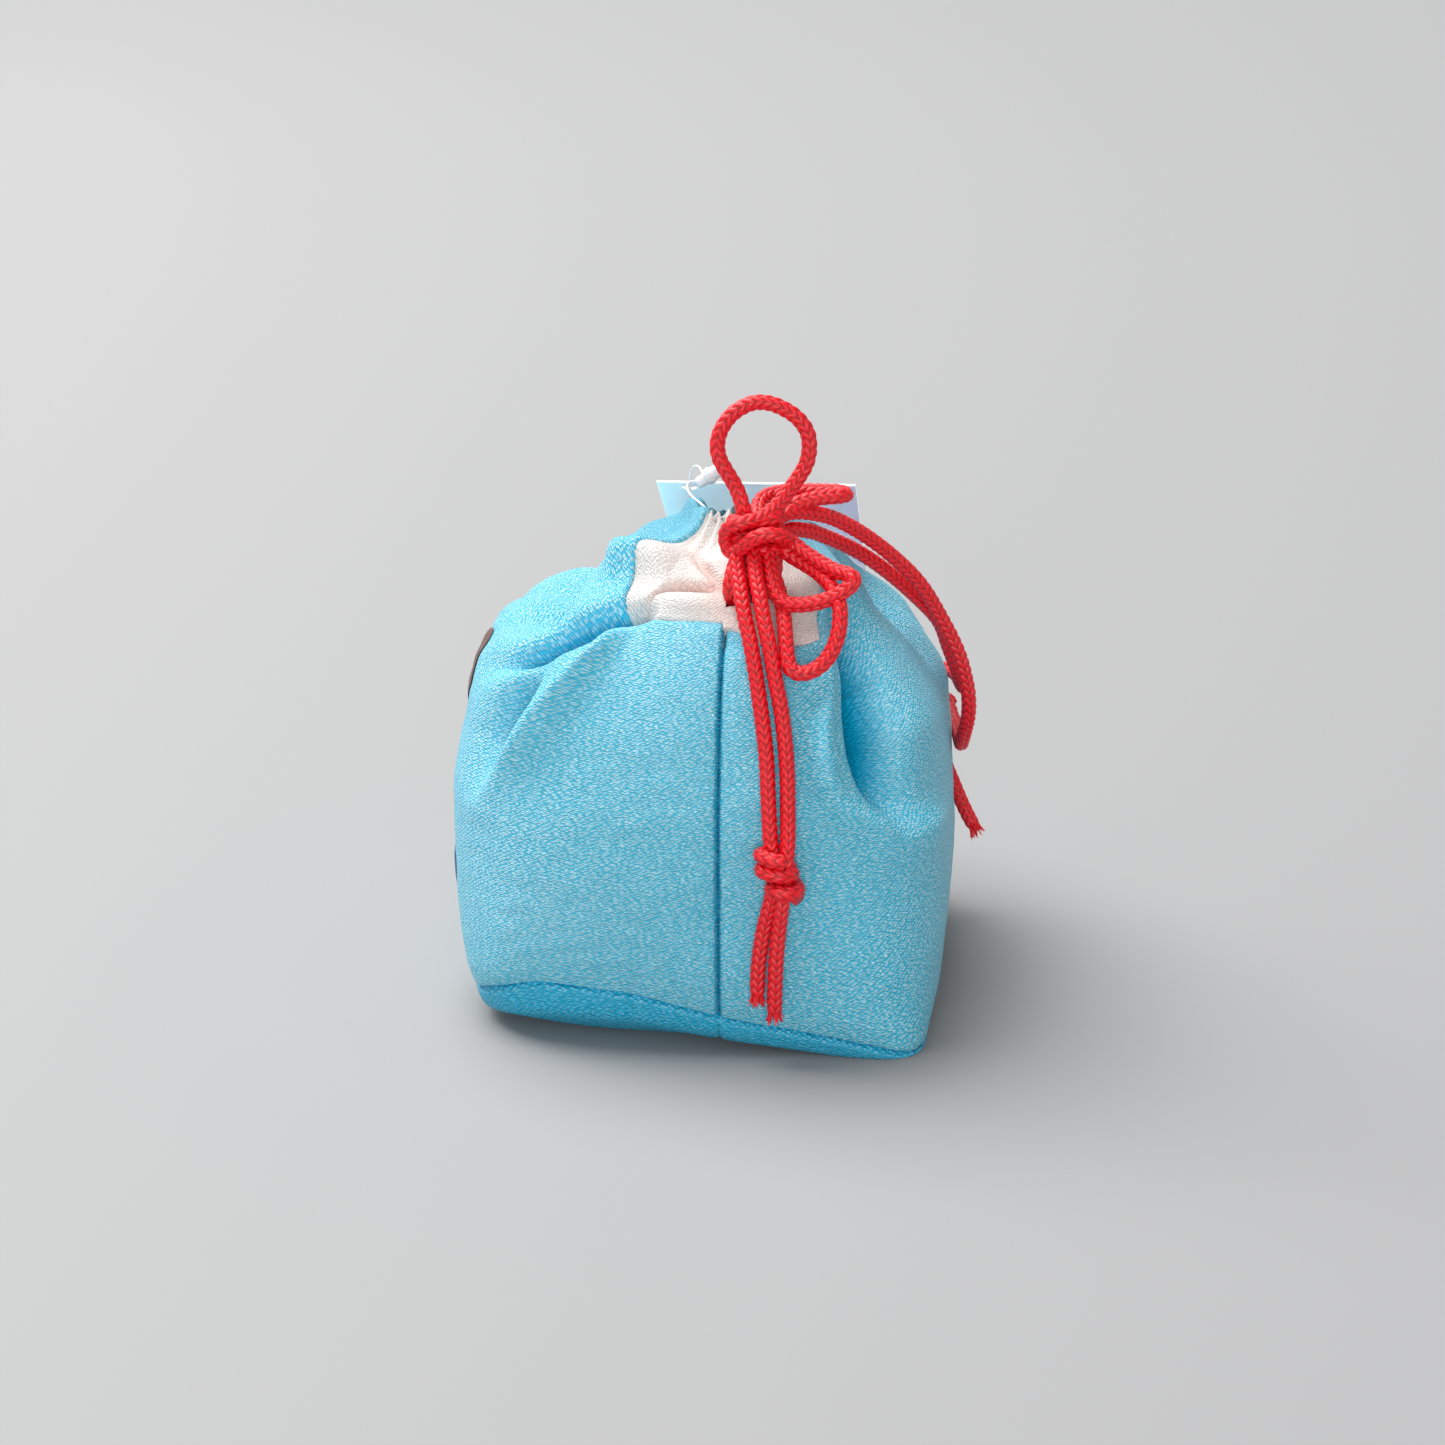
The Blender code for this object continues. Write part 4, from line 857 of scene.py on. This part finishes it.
LOOPS = {
    "top_loop": ((34.0, 12.2, 107.0), (35.2, 10.4, 110.6), (35.0, 9.6, 113.2), (34.0, 8.4, 116.0),
                 (34.0, 6.7, 118.9), (34.0, 5.1, 121.8), (33.5, 4.6, 124.7), (33.0, 5.4, 127.8),
                 (32.5, 7.6, 130.8), (32.0, 11.0, 132.8), (32.0, 14.3, 133.1), (32.0, 17.5, 132.1),
                 (32.0, 20.6, 130.1), (32.0, 22.6, 127.3), (32.0, 23.1, 124.2), (32.0, 22.6, 121.0),
                 (32.4, 21.0, 118.0), (33.4, 18.9, 115.2), (35.0, 16.6, 112.4), (37.4, 13.6, 110.6),
                 (38.6, 10.8, 110.0), (38.6, 8.6, 109.4), (37.2, 6.9, 107.8), (36.4, 6.6, 105.4),
                 (37.0, 7.6, 103.4), (38.8, 9.6, 104.4), (40.2, 12.0, 106.6), (40.6, 14.8, 107.9),
                 (39.6, 17.6, 107.6), (37.0, 19.4, 106.0)),
    "side_loop": ((31.5, 13.0, 107.6), (26.5, 12.2, 109.6), (22.8, 13.2, 111.4), (21.2, 17.0, 112.3),
                  (21.0, 21.2, 112.5), (21.4, 25.4, 112.6), (22.2, 28.6, 112.7), (24.4, 30.3, 112.7),
                  (26.4, 28.8, 112.8), (27.6, 25.2, 112.7), (29.0, 20.8, 111.8), (31.4, 16.4, 109.6)),
    "pointed_loop": ((34.0, 15.6, 107.0), (35.8, 19.0, 105.9), (37.4, 22.4, 103.8), (39.4, 25.8, 102.2),
                     (41.6, 29.2, 101.0), (43.4, 31.8, 100.8), (44.5, 33.0, 99.9), (44.8, 31.9, 98.4),
                     (45.0, 29.2, 96.6), (45.0, 25.8, 95.3), (44.6, 22.4, 94.6), (43.9, 19.2, 94.7),
                     (42.4, 17.1, 96.4), (40.2, 16.0, 99.6), (37.0, 15.0, 104.0)),
    "hanging_loop": ((34.6, 15.8, 105.0), (35.8, 19.6, 102.6), (37.4, 23.2, 100.9), (39.4, 25.9, 99.6),
                     (42.6, 28.6, 97.6), (45.8, 30.2, 94.9), (47.8, 30.4, 91.8), (49.1, 29.9, 88.8),
                     (50.0, 28.6, 85.8), (50.9, 26.8, 83.8), (51.8, 24.6, 82.7), (52.2, 22.4, 82.5),
                     (51.9, 20.6, 83.8), (49.6, 19.8, 87.0), (46.6, 19.3, 90.2), (42.8, 18.6, 93.2),
                     (39.6, 17.4, 96.6), (38.0, 15.8, 100.4), (36.6, 14.4, 104.0)),
}
TAILS = {
    "front_tail_left": ((36.6, 9.4, 105.0), (38.6, 8.9, 102.6), (40.6, 9.3, 100.2), (42.6, 9.8, 98.4),
                        (44.8, 10.4, 96.2), (47.2, 11.2, 93.0), (49.2, 12.3, 89.3), (50.9, 13.2, 85.6),
                        (52.4, 14.2, 80.4), (54.3, 15.4, 73.3), (55.9, 16.4, 65.7), (57.3, 16.9, 57.9),
                        (58.8, 17.4, 50.8), (59.6, 17.9, 46.5), (60.0, 18.3, 41.5), (59.6, 17.7, 36.5),
                        (58.9, 16.4, 31.0), (58.4, 15.5, 25.4), (58.1, 15.0, 19.8), (57.8, 14.9, 13.4)),
    "front_tail_right": ((36.8, 12.6, 105.2), (38.8, 12.4, 103.0), (40.6, 12.8, 100.8), (42.8, 13.3, 98.8),
                         (45.6, 14.2, 96.0), (48.2, 15.2, 92.2), (50.4, 16.4, 87.9), (52.7, 18.0, 80.6),
                         (53.9, 19.2, 75.0), (55.4, 20.2, 67.8), (56.6, 20.7, 61.3), (57.8, 20.9, 54.5),
                         (59.2, 21.0, 50.0), (60.2, 20.9, 46.5), (60.8, 20.6, 41.5), (60.9, 20.0, 36.5),
                         (60.3, 19.4, 31.0), (59.8, 18.9, 25.0), (59.3, 18.6, 18.7), (58.3, 18.4, 9.8)),
    "back_tail_outer": ((33.5, 15.5, 109.4), (30.4, 19.4, 110.2), (26.6, 23.4, 109.2), (21.5, 27.9, 106.8),
                        (16.0, 33.6, 102.3), (11.5, 39.9, 96.3), (8.0, 45.4, 89.7), (5.0, 50.0, 81.3),
                        (3.6, 53.4, 74.0), (2.6, 55.2, 67.6), (1.6, 55.9, 62.8), (-0.4, 55.8, 58.2),
                        (-4.0, 55.1, 54.0), (-9.0, 54.5, 50.4), (-15.0, 54.2, 47.8), (-22.0, 53.8, 46.6),
                        (-30.0, 52.8, 47.2), (-37.0, 51.0, 49.2), (-42.0, 49.4, 50.8), (-45.2, 49.0, 49.2),
                        (-46.0, 49.0, 45.0), (-45.6, 48.8, 40.0), (-43.8, 50.2, 34.5), (-41.6, 52.4, 29.8),
                        (-39.4, 54.8, 25.0), (-37.2, 57.2, 21.2), (-36.0, 58.8, 19.6)),
    "back_tail_inner": ((33.0, 15.0, 105.8), (30.0, 19.0, 106.4), (25.6, 22.4, 105.2), (20.5, 25.8, 102.8),
                        (14.0, 32.3, 98.1), (9.0, 38.4, 92.6), (4.0, 44.9, 85.5), (0.4, 49.2, 79.7),
                        (-3.0, 51.4, 72.9), (-7.6, 53.3, 66.4), (-15.0, 54.2, 61.2), (-24.0, 53.8, 58.9),
                        (-34.0, 52.4, 58.2), (-41.5, 49.9, 57.2), (-45.6, 47.8, 55.4), (-48.0, 47.1, 51.0),
                        (-48.2, 47.2, 45.0), (-48.2, 46.9, 39.0), (-48.6, 47.0, 31.0), (-48.8, 47.7, 23.5),
                        (-48.4, 48.6, 16.5)),
}
DRAWCORDS = {
    "lower_drawcord": [(34.0, 10.2, 104.6), (36.6, 8.7, 101.2), (39.0, 7.9, 98.0), (39.2, 7.7, 95.2),
                       (37.8, 8.2, 93.6), *channel(0.805, 3, 20),
                       (34.9, 15.3, 92.4), (35.0, 15.0, 95.2), (33.5, 16.2, 98.0), (32.8, 16.4, 103.0)],
    "upper_drawcord": [(32.0, 10.8, 104.6), (32.4, 10.0, 101.4), (33.4, 11.4, 98.6), (33.2, 11.2, 96.4),
                       *channel(0.850, 4.5, 19),
                       (29.2, 13.7, 95.4), (30.3, 13.4, 98.0), (31.4, 13.6, 103.6)],
}


print("routes:", len(LOOPS), "loops,", len(TAILS), "tails,", len(DRAWCORDS), "drawcords")

# %% [markdown]
# A knot is a cord that winds round the others. A cut end is frayed: thin threads start
# inside the cord and flare out past its end, each with its own length, place and flare.

# %%
def wound(centre, radii, turns, pitch, tilt=(0.0, 0.0), start=0.0, drift=(0.0, 0.0)):
    """A route that winds round an upright axis, leaning by tilt, its lower wraps moved by drift."""
    angle = start + np.linspace(0, turns * math.tau, round(turns * 14) + 1)
    x, y = radii[0] * np.cos(angle), radii[1] * np.sin(angle)
    lower = 1 - ease(angle, start, start + math.tau * turns * 0.6)
    x, y = x + drift[0] * lower, y + drift[1] * lower
    z = (angle - angle.mean()) / math.tau * pitch + tilt[0] * x + tilt[1] * y
    return np.stack((x, y, z), -1) + centre


FRAY_LENGTH, FRAY_START = 0.0024, 0.0010
THREADS_IN_FRAY, THREAD_RADIUS = 34, 0.00020


def fray(name, line, seed, rows=9, corners=6):
    """Loose threads at a cord's cut end.

    At the share s of its length a thread lies away from the cord's middle by its first
    distance plus a flare that grows with s squared, and it thins in the same way.
    """
    rng, count = np.random.default_rng(seed), THREADS_IN_FRAY
    along = (line[-1] - line[-6]) / np.linalg.norm(line[-1] - line[-6])
    side, over = (axis[-1] for axis in frames(line[-6:]))
    s, spin = np.linspace(0, 1, rows), np.linspace(0, math.tau, corners, endpoint=False)
    angle, first = rng.uniform(0, math.tau, count), CORD_RADIUS * 0.85 * np.sqrt(rng.uniform(0, 1, count))
    length, flare = rng.uniform(0.0022, 0.0036, count), rng.uniform(0.0001, 0.0011, count)
    away = (first[:, None] + flare[:, None] * s**2)[..., None]
    outward = (side * np.cos(angle)[:, None] + over * np.sin(angle)[:, None])[:, None]
    middle = line[-1] + along * ((length[:, None] * s)[..., None] - FRAY_START) + outward * away
    ring = side * np.cos(spin)[:, None] + over * np.sin(spin)[:, None]
    rings = middle[:, :, None] + ring * (THREAD_RADIUS * (1 - 0.45 * s**2))[:, None, None]
    points = np.concatenate((rings.reshape(count, -1, 3), middle[:, :1], middle[:, -1:]), axis=1)
    first_point = np.arange(count)[:, None, None] * points.shape[1]
    cells, fans = ((faces + first_point).reshape(-1, faces.shape[1]) for faces in tube_faces(rows, corners))
    points = points.reshape(-1, 3)
    mesh = make_mesh(name, points, cells, points[:, :2], fans)
    add_values(mesh, "stitch", np.full(len(points), 0.8))
    return add_piece(name, mesh, red_braid)


bow_wrap = wound((34.6, 12.6, 107.0), (2.8, 4.6), 2.2, 3.2)
print("the bow knot's wrap has", len(bow_wrap), "places")

# %% [markdown]
# Now each cord and knot is made. A tail stops a little short, and its fray goes on to the
# cord's real end.

# %%
cords, frays = {}, {}
for name, route in {**LOOPS, **TAILS, **DRAWCORDS}.items():
    cords[name] = braid(name + "_braid", route, *(((1.0, 0.8), FRAY_LENGTH) if name in TAILS else ()))
    print(name, "is", round(cords[name][2] * 1000), "mm long")
for seed, name in enumerate(TAILS):
    frays[name] = fray(name + "_fray", cords[name][1], seed)

KNOTS = {
    "bow_knot_core": bow_wrap,
    "front_knot_wraps": wound((60.2, 18.8, 42.6), (2.9, 3.1), 2.7, 3.0, (0.0, -0.34), 2.4, (0.6, 2.6)),
    "back_knot_wraps": wound((-46.3, 48.5, 45.0), (2.7, 2.9), 2.2, 3.4),
}
knots = {name: braid(name, route) for name, route in KNOTS.items()}
print("knots:", ", ".join(knots))

# %% [markdown]
# The knots go with the tails that they gather, and a tail has its fray.

# %%
REPLACED = {
    "top_loop": ("top_loop",), "side_loop": ("side_loop",), "pointed_loop": ("pointed_loop",),
    "hanging_loop": ("hanging_loop",), "front_tail_left": ("front_tail_left", "front_end_left"),
    "front_tail_right": ("front_tail_right", "front_end_right"),
    "back_tail_outer": ("back_tail_outer", "back_end_outer"),
    "back_tail_inner": ("back_tail_inner", "back_end_inner"),
    "lower_drawcord": ("lower_drawcord",), "upper_drawcord": ("upper_drawcord",),
}
WITH = {name: [piece] for name, piece in frays.items()}
WITH["front_tail_left"].append(knots["front_knot_wraps"][0])
WITH["back_tail_outer"].append(knots["back_knot_wraps"][0])
for name, (piece, line, length) in cords.items():
    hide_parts(*REPLACED[name])
for name, node in (("bow_knot_core", "bow_knot"), ("front_knot_wraps", "front_tail_knot"),
                   ("back_knot_wraps", "back_tail_knot")):
    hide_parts(node)
print("declared", len(cords), "cords")

# %% [markdown]
# ## Hang tag, nylon loop and lock
#
# The card keeps its CAD solid, with a soft print that fades from blue to mauve across it
# and white cut edges. Light passes through it a little, as through card.

# %%
def card_finish():
    n = Nodes("printed_card")
    place = n.new("TexCoord", 3)
    across = n.new("SeparateXYZ", 1, {0: place})
    tone = n.spread(across, -0.0115, 0.030, 0.0, 1.0)
    print_colour = n.blend(tone, linear(146, 192, 206), linear(122, 124, 152))
    cloud = n.new("TexNoise", 0, {"Vector": place, "Scale": 60.0, "Detail": 2.0})
    print_colour = n.blend(n.spread(cloud, 0.35, 0.75, 0.0, 0.35), print_colour, linear(92, 132, 164))
    geometry = n.new("NewGeometry", 1)
    upward = n.new("SeparateXYZ", 2, {0: geometry})
    face = n.math("GREATER_THAN", n.math("ABSOLUTE", upward), 0.6)
    colour = n.blend(face, linear(240, 240, 240), print_colour)
    return n.finish(base_color=colour, roughness=0.42, subsurface_weight=1.0,
                    subsurface_radius=(1, 1, 1), subsurface_scale=0.004)


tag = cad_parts["hang_tag"]
tag.data.materials.clear()
tag.data.materials.append(card_finish())
print("card finish on", tag.name)

# %% [markdown]
# The loop is one clear nylon thread, seen in two runs. Its lock is a small barrel with a
# collar, turned from a profile of places along it and radii, and tilted up by 35 degrees.

# %%
def nylon_finish():
    n = Nodes("clear_nylon")
    return n.finish(base_color=linear(238, 241, 244), roughness=0.3, transmission_weight=0.15)


nylon = nylon_finish()
THREADS = {
    "tag_thread_rear": ((-8.7, -5.2, 100.3), (-8.7, -5.2, 104.4), (-8.7, -5.0, 108.4), (-7.6, -4.2, 110.6),
                        (-5.2, -2.8, 111.2), (-2.4, -1.6, 110.2)),
    "tag_thread_front": ((-1.2, -2.6, 108.8), (-0.8, -3.9, 109.0), (0.6, -4.8, 108.6), (2.8, -4.4, 107.9),
                         (5.0, -3.2, 107.0), (7.2, -1.5, 106.3), (9.0, 0.4, 105.2)),
}
for name, route in THREADS.items():
    line, run = smooth_route(np.array(route) / 1000, 0.0004)
    mesh = tube_mesh(name + "_nylon", line, run, 0.00026, 12, tips=(0.3, 0.3))
    piece = add_piece(name + "_nylon", mesh, nylon)
    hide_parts(name)


LOCK_PROFILE = ((-0.0031, 0.0006), (-0.0030, 0.0010), (-0.0022, 0.0013), (-0.0008, 0.0013),
                (-0.0005, 0.0018), (0.0006, 0.0019), (0.0010, 0.0015), (0.0022, 0.0015),
                (0.0029, 0.0011), (0.0030, 0.0006))
LOCK_PLACE, LOCK_TILT = (-0.0014, -0.0003, 0.1101), math.radians(35)


def lock_mesh(rings=40, corners=32):
    """A barrel whose radius follows its profile."""
    along = np.linspace(LOCK_PROFILE[0][0], LOCK_PROFILE[-1][0], rings)[:, None]
    radius = read_rows(LOCK_PROFILE, along[:, 0])
    angle = np.linspace(0, math.tau, corners, endpoint=False)
    out, up = radius * np.cos(angle), radius * np.sin(angle)
    c, s = math.cos(LOCK_TILT), math.sin(LOCK_TILT)
    points = np.stack((out, along * c - up * s, along * s + up * c), -1) + LOCK_PLACE
    middle = points.mean(1)
    points = np.vstack((points.reshape(-1, 3), middle[:1], middle[-1:]))
    cells, fans = tube_faces(rings, corners)
    return make_mesh("tag_lock_barrel", points, cells, points[:, :2] * 0, fans)


lock = add_piece("tag_lock_barrel", lock_mesh(), nylon)
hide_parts("tag_lock")
print("tag, two threads and a lock")

# %% [markdown]
# ## Sewn patches
#
# The front panel carries two generic satin-stitched shapes, a brown leaf and a blue dot.
# They follow the wall, up to 0.7 mm above it, and a fine wave in the finish stands for the
# thread.

# %%
def satin(name, light, dark):
    n = Nodes(name)
    uv = n.new("UVMap", uv_map="UVMap")
    thread = n.new("TexWave", 1, {"Vector": uv, "Scale": 900.0, "Distortion": 1.2, "Detail": 1.0})
    colour = n.blend(thread, dark, light)
    normal = n.new("Bump", 0, {"Height": thread, "Strength": 0.6, "Distance": 0.0002})
    return n.finish(base_color=colour, roughness=0.42, normal=normal, sheen_weight=0.2)


def patch(name, node, centre, half_size, power, finish, slot_name, rings=24, corners=96):
    """Rings about the middle, |u|^p + |v|^p = 1 at the edge, domed towards the middle."""
    angle, ring = np.linspace(0, math.tau, corners, endpoint=False), np.linspace(0.001, 1, rings)[:, None]
    c, s = np.cos(angle), np.sin(angle)
    reach = (np.abs(c) ** power + np.abs(s) ** power) ** (-1 / power)
    u, v = -ring * reach * c * half_size[0], ring * reach * s * half_size[1]
    turn, row = centre[0] + u / ONE_TURN, centre[1] + v / WALL_RUN
    points = wall_point(turn, row, crumple(turn, row) + 0.0001 + 0.0006 * np.sqrt(1 - (0.98 * ring) ** 4))
    points = np.vstack((points.reshape(-1, 3), points[0].mean(0)[None]))
    cells, fans = tube_faces(rings, corners)
    uv = np.vstack((np.stack((u, v), -1).reshape(-1, 2), ((0.0, 0.0),)))
    piece = add_piece(name, make_mesh(name, points, cells, uv, fans[:corners]), finish)
    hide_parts(node)


patch("leaf_embroidery", "leaf_patch", (-84, 0.605), (0.0150, 0.0095), 1.25,
      satin("brown_satin", linear(112, 70, 58), linear(66, 36, 30)), "brown_thread")
patch("dot_embroidery", "dot_patch", (-72, 0.330), (0.0065, 0.0065), 2,
      satin("blue_satin", linear(30, 110, 190), linear(10, 60, 130)), "blue_thread")
print("patches sewn")

# %% [markdown]
# ## Stage and light
#
# The pouch stands on a pale sheet that fills the picture, painted a little darker near the
# camera and to the right as the light falls off there.

# %%
def plane(name, size, height, finish):
    points = np.array(((-1, -1, 0), (1, -1, 0), (1, 1, 0), (-1, 1, 0))) * (size, size, 0) + (0, 0, height)
    mesh = make_mesh(name, points, np.array(((0, 1, 2, 3),)))
    piece = bpy.data.objects.new(name, mesh)
    bpy.context.scene.collection.objects.link(piece)
    mesh.materials.append(finish)
    return piece


def paper_finish():
    """Pale grey with painted light fall-off: darker to the right along y and with the nearness, which is 1
    over the way along x to 0.75 m.
    """
    n = Nodes("pale_paper")
    place = n.new("TexCoord", 3)
    x, y = n.new("SeparateXYZ", 0, {0: place}), n.new("SeparateXYZ", 1, {0: place})
    nearness = n.math("DIVIDE", 1.0, n.math("MAXIMUM", n.math("SUBTRACT", 0.75, x), 0.4))
    ratio = n.math("MULTIPLY", y, nearness)
    # Painted light fall-off: the sheet goes darker to the right and towards the camera.
    tone = n.blend(n.spread(ratio, -0.24, 0.24, 0.0, 1.0), linear(166, 166, 166), linear(154, 154, 155))
    tone = n.blend(n.spread(nearness, 0.3, 1.9, 0.0, 0.16), tone, linear(110, 110, 111))
    return n.finish(base_color=tone, roughness=0.9, specular_ior_level=0.1)


floor = plane("floor", 6.0, 0.0, paper_finish())
print("floor half size:", round(floor.dimensions.x / 2, 1), "m")

# %% [markdown]
# A very soft light comes from above, a little from behind and from the left, so that the
# shadow falls to the right and stays soft. A lamp brightens the sheet on the left, and a weak
# one stands low in front. None of the lamps is seen by the camera.

# %%
def lamp(name, kind, place, target, power, width):
    """A soft light at a place. width is the disk's size in metres, or the sun's in degrees."""
    light = bpy.data.lights.new(name, kind)
    light.energy = power
    if kind == "SUN":
        light.angle = math.radians(width)
    else:
        light.shape, light.size = "DISK", width
    holder = bpy.data.objects.new(name, light)
    bpy.context.scene.collection.objects.link(holder)
    holder.location, holder.visible_camera = place, False
    holder.rotation_mode = "QUATERNION"
    holder.rotation_quaternion = (Vector(place) - Vector(target)).to_track_quat("Z", "Y")
    return holder


sky_light = lamp("overhead", "SUN", (-0.32, -0.50, 1.30), (0, 0, 0), 4.3, 50)
key = lamp("key", "AREA", (-0.9, -1.7, 1.3), (-0.5, -0.3, 0.0), 10.0, 0.9)
fill = lamp("fill", "AREA", (1.9, 0.15, 0.42), (0, 0, 0.06), 17.0, 0.8)

print("lights:", sky_light.name, key.name, fill.name)

# %% [markdown]
# The sky gives the rest of the light. The camera sees it as the same pale grey as the sheet.

# %%
world = bpy.data.worlds.new("sky")
bpy.context.scene.world = world
world.use_nodes = True
sky, links = world.node_tree.nodes, world.node_tree.links
sky["Background"].inputs["Color"].default_value = (1, 1, 1, 1)
sky["Background"].inputs["Strength"].default_value = 0.45
seen, rays = sky.new("ShaderNodeBackground"), sky.new("ShaderNodeLightPath")
choice = sky.new("ShaderNodeMixShader")
seen.inputs["Color"].default_value = linear(214, 214, 214)
links.new(rays.outputs["Is Camera Ray"], choice.inputs[0])
links.new(sky["Background"].outputs[0], choice.inputs[1])
links.new(seen.outputs[0], choice.inputs[2])
links.new(choice.outputs[0], sky["World Output"].inputs[0])
bpy.context.scene.view_settings.view_transform = "Standard"
print("sky strength:", round(sky["Background"].inputs["Strength"].default_value, 2))
